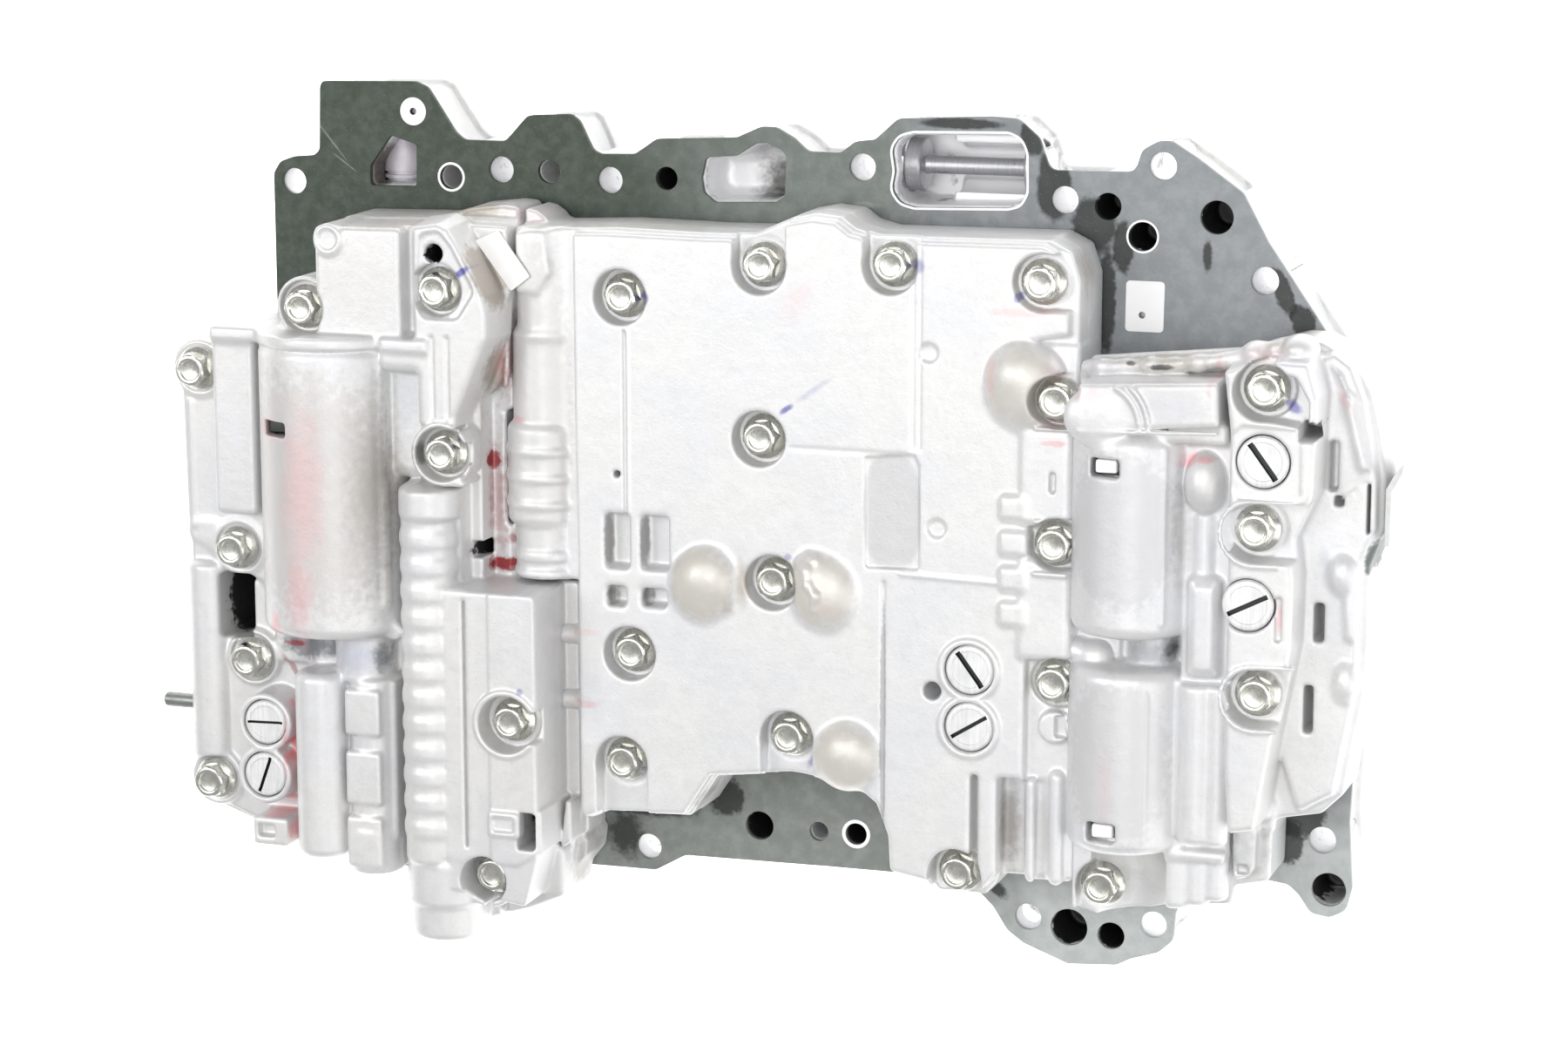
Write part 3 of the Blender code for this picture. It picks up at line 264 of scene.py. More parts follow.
    def gradient(self, points):
        """Surface directions at those points, from the field."""
        out = np.zeros((len(points), 3), F4)
        base = (points - self.low) / self.h

        def sample(p):
            p = np.clip(p, 0, self.n - 1.001)
            i = p.astype(int)
            f = (p - i).astype(F4)
            value = np.zeros(len(p), F4)
            for c in ((0, 0, 0), (0, 0, 1), (0, 1, 0), (0, 1, 1), (1, 0, 0), (1, 0, 1), (1, 1, 0), (1, 1, 1)):
                w = np.prod([f[:, a] if c[a] else 1 - f[:, a] for a in range(3)], axis=0)
                value += w * self.d[i[:, 0] + c[0], i[:, 1] + c[1], i[:, 2] + c[2]]
            return value
        for axis in range(3):
            step = np.zeros(3)
            step[axis] = 0.75
            out[:, axis] = sample(base + step) - sample(base - step)
        length = np.linalg.norm(out, axis=1, keepdims=True)
        return out / np.maximum(length, 1e-6)


def build(name, field, most, mat, replaces=(), body=ROOT):
    points, quads = field.mesh()
    data = bpy.data.meshes.new(name)
    data.vertices.add(len(points))
    world = points.copy()
    world[:, 0] += DX
    data.vertices.foreach_set("co", (world * MM).astype(F4).ravel())
    data.loops.add(len(quads) * 4)
    data.loops.foreach_set("vertex_index", quads.astype(np.int32).ravel())
    data.polygons.add(len(quads))
    data.polygons.foreach_set("loop_start", np.arange(0, len(quads) * 4, 4, dtype=np.int32))
    data.update(calc_edges=True)
    obj = bpy.data.objects.new(name, data)
    bpy.context.scene.collection.objects.link(obj)
    triangles = len(quads) * 2
    if triangles > most:
        shrink = obj.modifiers.new("fewer", "DECIMATE")
        shrink.ratio = most / triangles
        bpy.context.view_layer.update()
        graph = bpy.context.evaluated_depsgraph_get()
        small = bpy.data.meshes.new_from_object(obj.evaluated_get(graph))
        obj.modifiers.clear()
        obj.data = small
        bpy.data.meshes.remove(data)
        data = small
        data.name = name
    data.shade_smooth()
    co = np.zeros(len(data.vertices) * 3, F4)
    data.vertices.foreach_get("co", co)
    co = co.reshape(-1, 3) / MM
    co[:, 0] -= DX
    data.normals_split_custom_set_from_vertices(field.gradient(co))
    data.materials.append(mat)
    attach(obj, body)
    if replaces:
        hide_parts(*replaces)
    print(name, triangles, "->", len(data.polygons), "faces")
    return obj


# =====================================================================================
# Materials
# =====================================================================================
class Shader:
    def __init__(self, name):
        self.material = bpy.data.materials.new(name)
        self.material.use_nodes = True
        self.tree = self.material.node_tree
        self.out = self.tree.nodes["Principled BSDF"]
        self.where = self.tree.nodes.new("ShaderNodeTexCoord").outputs["Object"]

    def node(self, kind, **inputs):
        made = self.tree.nodes.new(kind)
        for key, value in inputs.items():
            socket = made.inputs[int(key[1:])] if key[0] == "i" and key[1:].isdigit() else made.inputs[key.replace("_", " ")]
            self.feed(socket, value)
        return made

    def feed(self, socket, value):
        if isinstance(value, bpy.types.NodeSocket):
            self.tree.links.new(value, socket)
        else:
            socket.default_value = value

    def noise(self, scale, detail=4.0, rough=0.55, distortion=0.0, stretch=None):
        where = self.where
        if stretch:
            mapped = self.node("ShaderNodeMapping", Vector=where)
            mapped.inputs["Scale"].default_value = stretch
            where = mapped.outputs[0]
        return self.node("ShaderNodeTexNoise", Vector=where, Scale=scale, Detail=detail, Roughness=rough, Distortion=distortion).outputs["Fac"]

    def ramp(self, value, low, high, out_low=0.0, out_high=1.0, smooth=True):
        made = self.tree.nodes.new("ShaderNodeMapRange")
        made.interpolation_type = "SMOOTHSTEP" if smooth else "LINEAR"
        for i, v in enumerate((value, low, high, out_low, out_high)):
            self.feed(made.inputs[i], v)
        return made.outputs[0]

    def math(self, what, a, b=0.0):
        made = self.tree.nodes.new("ShaderNodeMath")
        made.operation = what
        made.use_clamp = False
        self.feed(made.inputs[0], a)
        self.feed(made.inputs[1], b)
        return made.outputs[0]

    def mix(self, fac, a, b):
        made = self.tree.nodes.new("ShaderNodeMix")
        made.data_type = "RGBA"
        self.feed(made.inputs["Factor"], fac)
        self.feed(made.inputs[6], a if isinstance(a, bpy.types.NodeSocket) else (*a, 1))
        self.feed(made.inputs[7], b if isinstance(b, bpy.types.NodeSocket) else (*b, 1))
        return made.outputs[2]

    def blob(self, x, y, rx, ry, turn=0.0, z=None, rz=30.0, soft=0.6, rough=0.35, grain=500.0):
        """1 inside an uneven spot at layout x, y (mm), 0 outside."""
        mapped = self.tree.nodes.new("ShaderNodeMapping")
        mapped.vector_type = "TEXTURE"
        self.feed(mapped.inputs["Vector"], self.where)
        mapped.inputs["Location"].default_value = ((x + DX) * MM, y * MM, (z if z is not None else 50) * MM)
        mapped.inputs["Rotation"].default_value = (0, 0, math.radians(turn))
        mapped.inputs["Scale"].default_value = (rx * MM, ry * MM, (rz if z is not None else 500) * MM)
        length = self.tree.nodes.new("ShaderNodeVectorMath")
        length.operation = "LENGTH"
        self.feed(length.inputs[0], mapped.outputs[0])
        uneven = self.math("MULTIPLY", self.math("SUBTRACT", self.noise(grain, 3.0), 0.5), rough * 2)
        return self.ramp(self.math("ADD", length.outputs["Value"], uneven), 1.0, 1.0 - soft)

    def bump(self, height, strength, distance, under=None):
        made = self.node("ShaderNodeBump", Strength=strength, Distance=distance, Height=height)
        if under is not None:
            self.feed(made.inputs["Normal"], under)
        return made.outputs[0]

    def finish(self, colour, rough, metal, normal=None, **more):
        for key, value in (("Base Color", colour if isinstance(colour, bpy.types.NodeSocket) else (*colour, 1)), ("Roughness", rough), ("Metallic", metal)):
            self.feed(self.out.inputs[key], value)
        if normal is not None:
            self.feed(self.out.inputs["Normal"], normal)
        for key, value in more.items():
            self.feed(self.out.inputs[key.replace("_", " ")], value)
        return self.material


RED = (0.30, 0.012, 0.018)
PINK = (0.80, 0.36, 0.38)
BLUE = (0.10, 0.10, 0.42)


def cast_metal(name, base=(0.80, 0.797, 0.79), stains=(), pens=(), pools=(), crevice_shade=(), tones_and_painted_light=()):
    s = Shader(name)
    broad = s.ramp(s.noise(38, 3.0), 0.35, 0.68)
    fine = s.ramp(s.noise(700, 5.0, 0.6), 0.32, 0.72)
    speck = s.ramp(s.noise(1900, 2.0, 0.5), 0.62, 0.74)
    flow = s.ramp(s.noise(120, 4.0, 0.6, 1.2), 0.40, 0.66)
    dark = tuple(c * 0.90 for c in base)
    cool = (base[0] * 0.955, base[1] * 0.965, base[2] * 1.0)
    colour = s.mix(broad, base, cool)
    colour = s.mix(s.math("MULTIPLY", flow, 0.35), colour, dark)
    colour = s.mix(s.math("MULTIPLY", fine, 0.18), colour, tuple(c * 0.8 for c in base))
    colour = s.mix(s.math("MULTIPLY", speck, 0.30), colour, tuple(c * 0.62 for c in base))
    # painted shade: warm grey-brown darkening laid along crevices, standing in for the shade there
    for spot, amount in crevice_shade:
        colour = s.mix(s.math("MULTIPLY", s.blob(**spot), amount), colour, (0.40, 0.36, 0.30))
    # the casting's own tones, with painted shade and painted light, each in its own colour
    for spot, amount, tint in tones_and_painted_light:
        colour = s.mix(s.math("MULTIPLY", s.blob(**spot), amount), colour, tint)
    for spot, amount in stains:
        colour = s.mix(s.math("MULTIPLY", s.blob(**spot), amount), colour, PINK)
    for spot, amount in pens:
        colour = s.mix(s.math("MULTIPLY", s.blob(**spot), amount), colour, BLUE)
    rough = s.ramp(s.noise(260, 4.0), 0.2, 0.8, 0.34, 0.52, False)
    for spot, amount in pools:
        wet = s.math("MULTIPLY", s.blob(**spot), amount)
        colour = s.mix(wet, colour, RED)
        rough = s.math("SUBTRACT", rough, s.math("MULTIPLY", wet, 0.25))
    normal = s.bump(s.noise(1500, 4.0, 0.6), 0.35, 0.00012)
    normal = s.bump(s.noise(330, 3.0, 0.5), 0.5, 0.00018, normal)
    return s.finish(colour, rough, 0.35, normal)


def turned_metal(name, base, rough=0.26, metal=0.9, axis=2, rings=2600):
    s = Shader(name)
    marks = s.noise(rings, 2.0, 0.5, 0.0, tuple(1.0 if i == axis else 0.06 for i in range(3)))
    colour = s.mix(s.ramp(marks, 0.3, 0.7), base, tuple(c * 0.86 for c in base))
    colour = s.mix(s.math("MULTIPLY", s.ramp(s.noise(160, 3.0), 0.45, 0.7), 0.4), colour, tuple(c * 0.78 for c in base))
    return s.finish(colour, s.ramp(s.noise(500, 3.0), 0.2, 0.8, rough * 0.8, rough * 1.35, False), metal, s.bump(marks, 0.25, 0.00005))


def plated_metal(name):
    s = Shader(name)
    blotch = s.ramp(s.noise(420, 4.0, 0.6), 0.38, 0.64)
    colour = s.mix(blotch, (0.76, 0.755, 0.71), (0.62, 0.62, 0.57))
    colour = s.mix(s.math("MULTIPLY", s.ramp(s.noise(900, 3.0), 0.55, 0.72), 0.6), colour, (0.86, 0.855, 0.82))
    return s.finish(colour, s.ramp(s.noise(700, 3.0), 0.3, 0.7, 0.18, 0.32, False), 1.0, s.bump(s.noise(1700, 2.0), 0.2, 0.00005))


def coated(name):
    """Separator plate: dark green bonded coating, worn spots, and painted reflection that turns it greyer and lighter
    towards +X and -Y, with painted shadows beside the castings.
    """
    s = Shader(name)
    split = s.node("ShaderNodeSeparateXYZ", Vector=s.where)
    x, y = split.outputs[0], split.outputs[1]
    # the coating's own dark green; the greyer colours that follow are painted reflection of a lighter surround
    green = s.mix(s.ramp(s.noise(300, 5.0, 0.65), 0.35, 0.68), (0.046, 0.062, 0.046), (0.074, 0.092, 0.072))

    def tone(a, b, scale=240):
        return s.mix(s.ramp(s.noise(scale, 5.0, 0.65), 0.35, 0.68), a, b)
    grey = tone((0.155, 0.175, 0.158), (0.205, 0.228, 0.208))
    steel = tone((0.225, 0.242, 0.252), (0.290, 0.305, 0.318))
    east = tone((0.255, 0.275, 0.285), (0.315, 0.332, 0.342))
    low_grey = tone((0.205, 0.222, 0.208), (0.262, 0.280, 0.265))
    lobe = tone((0.42, 0.45, 0.445), (0.50, 0.525, 0.52), 200)
    uneven = s.math("MULTIPLY", s.math("SUBTRACT", s.noise(55, 4.0), 0.5), 0.05)
    across = s.math("ADD", x, uneven)
    # painted reflection: greyer towards +X, greyer again towards -Y, lightest in the lower right corner
    colour = s.mix(s.ramp(across, -0.050, 0.005), green, grey)
    colour = s.mix(s.ramp(across, 0.020, 0.050), colour, steel)
    colour = s.mix(s.ramp(across, 0.070, 0.105), colour, east)
    down = s.math("ADD", y, uneven)
    low = s.ramp(down, -0.050, -0.075)
    colour = s.mix(low, colour, low_grey)
    corner = s.math("MULTIPLY", low, s.ramp(across, 0.045, 0.075))
    colour = s.mix(corner, colour, lobe)
    # painted shadows: near-black spots on the plate beside and under the castings
    black = (0.012, 0.014, 0.012)
    for spot in (dict(x=71.5, y=91, rx=5.0, ry=11, soft=0.25, rough=0.2, grain=240), dict(x=82, y=81, rx=6.5, ry=8.5, soft=0.3, rough=0.3, grain=240),
                 dict(x=66, y=103, rx=4, ry=6, soft=0.3, rough=0.2), dict(x=47, y=105.4, rx=13, ry=1.7, soft=0.4, rough=0.2), dict(x=89.5, y=76, rx=3.2, ry=8, soft=0.35),
                 dict(x=85.6, y=62, rx=2.6, ry=16, soft=0.35), dict(x=111, y=74.5, rx=1.5, ry=5, soft=0.5), dict(x=130.2, y=66.5, rx=2.7, ry=7.5, turn=24, soft=0.3),
                 dict(x=135.4, y=59.4, rx=3.6, ry=4.8, turn=24, soft=0.3), dict(x=138.5, y=-67.5, rx=7.5, ry=5.5, turn=25, soft=0.3), dict(x=135.4, y=-73.5, rx=4.2, ry=7, soft=0.3),
                 dict(x=58.6, y=-93.4, rx=4.6, ry=2.2, turn=-40, soft=0.5), dict(x=-16.4, y=-75.6, rx=6.0, ry=6.0, soft=0.3), dict(x=-38, y=-80.2, rx=17, ry=3.4, soft=0.5), dict(x=-45, y=-88, rx=7, ry=9, soft=0.6), dict(x=140, y=50, rx=3.4, ry=2.0, turn=-50, soft=0.5)):
        colour = s.mix(s.math("MULTIPLY", s.blob(**spot), 0.85), colour, black)
    for spot in (dict(x=-128, y=96, rx=0.35, ry=9, turn=40, soft=0.7), dict(x=-124, y=90, rx=0.3, ry=6, turn=55, soft=0.7), dict(x=22, y=84, rx=5, ry=1.2, soft=0.7)):
        colour = s.mix(s.math("MULTIPLY", s.blob(**spot), 0.5), colour, (0.35, 0.36, 0.34))
    speck = s.ramp(s.noise(2300, 2.0), 0.66, 0.72)
    colour = s.mix(s.math("MULTIPLY", speck, 0.4), colour, (0.30, 0.31, 0.29))
    return s.finish(colour, s.ramp(s.noise(400, 3.0), 0.3, 0.7, 0.42, 0.60, False), 0.0, s.bump(s.noise(1300, 3.0), 0.25, 0.00008), Specular_IOR_Level=0.35)


def plain(name, base, rough, metal, spots=0.15):
    s = Shader(name)
    colour = s.mix(s.math("MULTIPLY", s.ramp(s.noise(350, 4.0), 0.4, 0.66), spots * 2), base, tuple(c * 0.7 for c in base))
    return s.finish(colour, s.ramp(s.noise(600, 3.0), 0.3, 0.7, rough * 0.85, min(1, rough * 1.2), False), metal, s.bump(s.noise(1400, 3.0), 0.2, 0.00006))


BROWN = (0.42, 0.37, 0.30)
BEIGE = (0.66, 0.62, 0.54)
STEEL = (0.26, 0.30, 0.34)
MOSS = (0.16, 0.18, 0.16)
BLACK = (0.012, 0.012, 0.012)
LEFT_STAINS = (
    (dict(x=-117.0, y=8, rx=8.5, ry=32, soft=0.95, rough=0.5, grain=160), 0.36), (dict(x=-118.5, y=-20, rx=6, ry=14, soft=0.9), 0.38), (dict(x=-126.4, y=-65, rx=4.5, ry=26, z=52, rz=10, soft=0.9), 0.40), (dict(x=-127.5, y=24.5, rx=6.5, ry=4.5, soft=0.8), 0.25),
    (dict(x=-127.0, y=-30.5, rx=3.0, ry=9, soft=0.7), 0.5), (dict(x=-129.2, y=-62, rx=1.5, ry=17, z=50, rz=12, soft=0.6), 0.95), (dict(x=-133, y=-79.5, rx=7, ry=1.0, soft=0.5), 0.75),
    (dict(x=-128.5, y=-87, rx=1.6, ry=5, z=50, rz=12, soft=0.6), 0.85), (dict(x=-134, y=-83, rx=5.5, ry=0.9, z=50, rz=10, soft=0.6), 0.6), (dict(x=-69.2, y=42, rx=2.6, ry=18, z=46, rz=7, soft=0.9), 0.35), (dict(x=-66, y=80.5, rx=6, ry=3.0, z=40, rz=5, soft=0.7), 0.15))
LEFT_PENS = ((dict(x=-74.6, y=67, rx=3.0, ry=1.3, turn=28, soft=0.6), 0.85), (dict(x=-76.2, y=24.2, rx=0.9, ry=1.6, z=58, rz=6, soft=0.6), 0.85), (dict(x=-58.5, y=-41, rx=1.2, ry=1.2, soft=0.6), 0.5))
LEFT_POOLS = ((dict(x=-72.6, y=4, rx=3.6, ry=24, z=43, rz=4, soft=0.9, rough=0.9, grain=420), 0.42), (dict(x=-71.5, y=-12.0, rx=6.5, ry=2.6, z=43.5, rz=4, soft=0.5, rough=0.5), 0.96),
              (dict(x=-73.6, y=15.6, rx=2.4, ry=3.2, z=43.5, rz=4, soft=0.5, rough=0.6), 0.9), (dict(x=-68.8, y=-5.2, rx=1.6, ry=2.2, z=43.5, rz=4, soft=0.6), 0.6), (dict(x=-129.5, y=-36.5, rx=4, ry=1.2, soft=0.6), 0.7),
              (dict(x=-131.4, y=-43.5, rx=1.2, ry=5.5, turn=30, soft=0.6), 0.5))
# painted shade along the crevices of the left casting
LEFT_CREVICE_SHADE = ((dict(x=-73, y=57, rx=7, ry=13, z=52, rz=8, soft=0.9), 0.45), (dict(x=-72, y=30, rx=6, ry=16, z=50, rz=8, soft=0.9), 0.4), (dict(x=-100, y=79, rx=20, ry=3, soft=0.8), 0.4))
# Left casting: its own tones, and painted shade where noted; on this line the brown band down the large barrel's right
# flank is painted shade
LEFT_TONES_AND_SHADE = ((dict(x=-102.5, y=8, rx=5.5, ry=42, z=62, rz=9, soft=0.95, rough=0.5, grain=200), 0.34, BROWN), (dict(x=-105, y=-36, rx=9, ry=5, z=52, rz=9, soft=0.7), 0.35, STEEL),
              (dict(x=-122, y=-36.5, rx=5, ry=3, z=52, rz=9, soft=0.8), 0.4, STEEL), (dict(x=-77.5, y=33, rx=7, ry=16, z=56, rz=8, soft=0.9), 0.3, BEIGE), (dict(x=-79, y=81, rx=13, ry=4.2, z=40, rz=7, soft=0.7), 0.75, BROWN),
              (dict(x=-52.6, y=-46, rx=3.2, ry=34, z=40, rz=12, soft=0.8), 0.22, BEIGE), (dict(x=-96, y=14.0, rx=5, ry=9, z=56, rz=8, soft=0.9), 0.3, BROWN),
              # painted shade: the dark band down the large barrel's right flank (x -100.5); the grey over the whole
              # barrel is its own tone
              (dict(x=-116, y=8, rx=24, ry=42, z=62, rz=16, soft=0.3), 0.85, (0.62, 0.60, 0.585)), (dict(x=-100.5, y=8, rx=11, ry=42, z=60, rz=12, soft=0.95), 0.75, (0.36, 0.345, 0.32)),
              # painted shade: the dark on the east-facing wall by the label; the dark red-brown in the trench is red
              # fluid with painted shade
              (dict(x=-70.4, y=65.2, rx=4.4, ry=11, turn=30, z=54, rz=8.5, soft=0.4), 0.85, (0.42, 0.37, 0.32)), (dict(x=-68.2, y=48, rx=2.2, ry=15, z=44, rz=6, soft=0.6), 0.6, (0.22, 0.12, 0.11)),
              (dict(x=-49, y=-92, rx=11, ry=10, z=36, rz=10, soft=0.5), 0.6, (0.34, 0.33, 0.31)), (dict(x=-104, y=-66, rx=9, ry=24, z=54, rz=8, soft=0.5), 0.22, (0.58, 0.58, 0.64)),
              # painted shade: the dark crease beside the second barrel (x -110.6)
              (dict(x=-110.6, y=-66, rx=3.0, ry=24, z=54, rz=8, soft=0.8), 0.45, (0.30, 0.30, 0.30)), (dict(x=-103, y=62, rx=15, ry=17, z=58, rz=8, soft=0.6), 0.25, (0.60, 0.57, 0.53)),
              # painted shadow: the dark band by the trench and the dark round the neck under the barrels
              (dict(x=-70.8, y=45, rx=3.8, ry=20, z=47, rz=9, soft=0.5), 0.85, (0.36, 0.32, 0.28)), (dict(x=-123, y=-36, rx=13, ry=5.6, z=47, rz=9, soft=0.4), 0.8, (0.15, 0.16, 0.18)),
              # painted shade: the dark on the right of the neck rod (x -101.4)
              (dict(x=-107.6, y=-36.5, rx=8.5, ry=7, z=57, rz=7, soft=0.6), 0.6, (0.50, 0.52, 0.62)), (dict(x=-101.4, y=-36.5, rx=2.4, ry=7, z=53, rz=8, soft=0.6), 0.7, (0.12, 0.13, 0.14)),
              # painted shade: black in the gap behind the barrel and in the trench's slot, and the dark left of the
              # fourth screw's ring
              (dict(x=-148.8, y=-27.8, rx=8.5, ry=14, z=29, rz=16, soft=0.2), 0.97, BLACK), (dict(x=-77.4, y=-7.2, rx=3.4, ry=3.6, z=34, rz=17, soft=0.2), 0.98, BLACK), (dict(x=-88.4, y=19.0, rx=2.4, ry=5.5, z=58, rz=4, soft=0.7), 0.7, (0.12, 0.12, 0.12)),
              (dict(x=-92.5, y=34, rx=6, ry=13, z=54, rz=7, soft=0.8), 0.4, (0.48, 0.52, 0.56)),
              # painted shade: black in the hole in the plateau and in the window beside the wedge
              (dict(x=-82.7, y=71.3, rx=3.5, ry=3.5, z=47, rz=18, soft=0.1), 0.98, BLACK), (dict(x=-57.2, y=-78.6, rx=3.4, ry=6.4, z=44, rz=18, soft=0.2), 0.98, BLACK),
              # painted shade: dark in the two plug recesses
              (dict(x=-135.1, y=-56.9, rx=7.4, ry=7.4, z=50.6, rz=4.6, soft=0.3), 0.6, (0.10, 0.10, 0.10)), (dict(x=-135.5, y=-71.3, rx=7.4, ry=7.4, z=50.6, rz=4.6, soft=0.3), 0.6, (0.10, 0.10, 0.10)))
CENTRE_STAINS = ((dict(x=12.5, y=62.5, rx=5, ry=9.5, turn=-32, soft=0.95), 0.15), (dict(x=72, y=62, rx=12, ry=1.6, soft=0.7), 0.25), (dict(x=79, y=40, rx=5, ry=14, soft=0.9), 0.25),
                 (dict(x=-65.0, y=27.5, rx=3.6, ry=1.6, soft=0.8), 0.45), (dict(x=80, y=30, rx=4, ry=1.0, soft=0.6), 0.5), (dict(x=-46, y=-46.5, rx=5, ry=1.4, soft=0.6), 0.35), (dict(x=-46, y=-27.2, rx=5, ry=1.4, soft=0.6), 0.2),
                 (dict(x=-62.5, y=79.5, rx=4, ry=2.4, soft=0.7), 0.15), (dict(x=22.5, y=-15.5, rx=5, ry=3, soft=0.9), 0.10), (dict(x=63.5, y=46, rx=2.4, ry=9, soft=0.8), 0.25))
CENTRE_PENS = ((dict(x=9.6, y=34.6, rx=2.8, ry=1.1, turn=35, soft=0.7), 0.8), (dict(x=17, y=40, rx=8, ry=1.2, turn=35, soft=0.9), 0.25), (dict(x=-28.6, y=61.0, rx=1.4, ry=2.0, soft=0.6), 0.75),
               (dict(x=44, y=72.2, rx=2.4, ry=2.6, soft=0.7), 0.5), (dict(x=69.5, y=65.5, rx=1.2, ry=1.6, soft=0.6), 0.6), (dict(x=15, y=-57.5, rx=1.5, ry=3.6, turn=-35, soft=0.7), 0.55),
               (dict(x=-29.5, y=-66, rx=1.2, ry=2.6, soft=0.7), 0.5), (dict(x=10, y=-3.5, rx=1.5, ry=1.2, soft=0.7), 0.4))
# Centre casting: its own tones, and painted shade where noted
CENTRE_TONES_AND_SHADE = ((dict(x=-13.0, y=-11.4, rx=10.6, ry=11.4, z=52, rz=4.6, soft=0.35), 0.72, BEIGE), (dict(x=19.2, y=-11.0, rx=10.6, ry=11.4, z=52, rz=4.6, soft=0.35), 0.62, BEIGE), (dict(x=26, y=-54, rx=10.4, ry=10.4, z=52, rz=4.6, soft=0.35), 0.66, BEIGE),
                (dict(x=72, y=44, rx=12, ry=13, z=52, rz=6, soft=0.45), 0.55, BEIGE), (dict(x=-2.4, y=-11, rx=3.0, ry=9, z=50, rz=4, soft=0.9), 0.7, BROWN), (dict(x=-6.5, y=-17, rx=3.4, ry=5, z=50, rz=3, soft=0.9), 0.4, BROWN),
                # painted shade: the grey line in the groove at x 35.45 and the dark on the flank above the notch at
                # (-15.2, -70)
                (dict(x=35.45, y=-46, rx=0.9, ry=39, z=49.6, rz=1.6, soft=0.3), 0.75, (0.40, 0.40, 0.41)), (dict(x=-15.2, y=-70, rx=4.5, ry=7, turn=-35, z=42, rz=9, soft=0.95), 0.5, (0.20, 0.19, 0.18)), (dict(x=37.5, y=9.6, rx=8.4, ry=16.5, z=49.4, rz=1.2, soft=0.15, rough=0.05), 0.22, (0.5, 0.5, 0.5)),
                # painted shade: the brown on the north-east corner wall, which faces away from the light
                (dict(x=85, y=72, rx=5, ry=12, z=38, rz=9, soft=0.8), 0.5, BROWN), (dict(x=67.0, y=-70, rx=4.0, ry=17, z=43, rz=5, soft=0.8), 0.75, (0.30, 0.28, 0.26)), (dict(x=-30, y=79, rx=60, ry=1.8, soft=0.9), 0.22, BROWN), (dict(x=-59, y=38, rx=4, ry=36, z=48, rz=4, soft=0.9), 0.10, BEIGE),
                (dict(x=-59.5, y=30, rx=10.6, ry=52, z=48, rz=10, soft=0.25), 0.60, (0.64, 0.63, 0.615)), (dict(x=37.5, y=9.6, rx=9.0, ry=17, z=49.4, rz=1.4, soft=0.12, rough=0.05), 0.35, (0.52, 0.52, 0.53)),
                # painted shade: dark on the west walls of the four cells (this line and the next)
                (dict(x=-39.9, y=-2.4, rx=1.2, ry=9.5, z=47, rz=4, soft=0.5), 0.6, (0.16, 0.15, 0.14)), (dict(x=-30.0, y=-2.4, rx=1.2, ry=9.5, z=47, rz=4, soft=0.5), 0.6, (0.16, 0.15, 0.14)),
                (dict(x=-38.6, y=-17, rx=1.8, ry=3.4, z=47, rz=4, soft=0.5), 0.7, (0.10, 0.09, 0.08)), (dict(x=-29.0, y=-17, rx=1.8, ry=3.4, z=47, rz=4, soft=0.5), 0.7, (0.10, 0.09, 0.08)),
                (dict(x=-50, y=-29.6, rx=5, ry=3.2, z=44, rz=5, soft=0.7), 0.4, (0.66, 0.52, 0.46)), (dict(x=-50, y=-47.0, rx=5, ry=3.2, z=44, rz=5, soft=0.7), 0.4, (0.66, 0.52, 0.46)),
                # painted shade: the dark low along the west side at x -62
                (dict(x=-62, y=0, rx=3, ry=32, z=33, rz=9, soft=0.7), 0.5, (0.10, 0.10, 0.10)), (dict(x=72, y=-70, rx=12, ry=15, z=45, rz=4, soft=0.5), 0.22, (0.40, 0.38, 0.35)))
RIGHT_STAINS = ((dict(x=114.6, y=28.4, rx=2.0, ry=3.4, turn=-40, soft=0.8), 0.7), (dict(x=118.6, y=29.0, rx=3.4, ry=1.2, soft=0.7), 0.7), (dict(x=96, y=-54, rx=3, ry=16, soft=0.95), 0.14), (dict(x=153.4, y=55, rx=3.4, ry=6, turn=20, soft=0.8), 0.35),
                (dict(x=90, y=44, rx=5, ry=3, soft=0.8), 0.18), (dict(x=132, y=55, rx=7, ry=3, soft=0.8), 0.2), (dict(x=138.6, y=-8, rx=1.0, ry=5.4, soft=0.7), 0.4), (dict(x=120.4, y=49.5, rx=1.2, ry=7, soft=0.8), 0.3), (dict(x=150.4, y=44, rx=2.0, ry=5, turn=25, soft=0.9), 0.3))
RIGHT_PENS = ((dict(x=139.4, y=42.8, rx=3.4, ry=1.8, turn=-28, soft=0.6), 0.7), (dict(x=110.4, y=42.0, rx=14, ry=5, z=60, rz=2.5, soft=0.95), 0.07))
# painted shade along the upper edge of the right casting
RIGHT_CREVICE_SHADE = ((dict(x=108, y=50.6, rx=24, ry=3.0, z=47, rz=7, soft=0.8), 0.45), (dict(x=136, y=57.6, rx=8, ry=2.5, soft=0.8), 0.3))
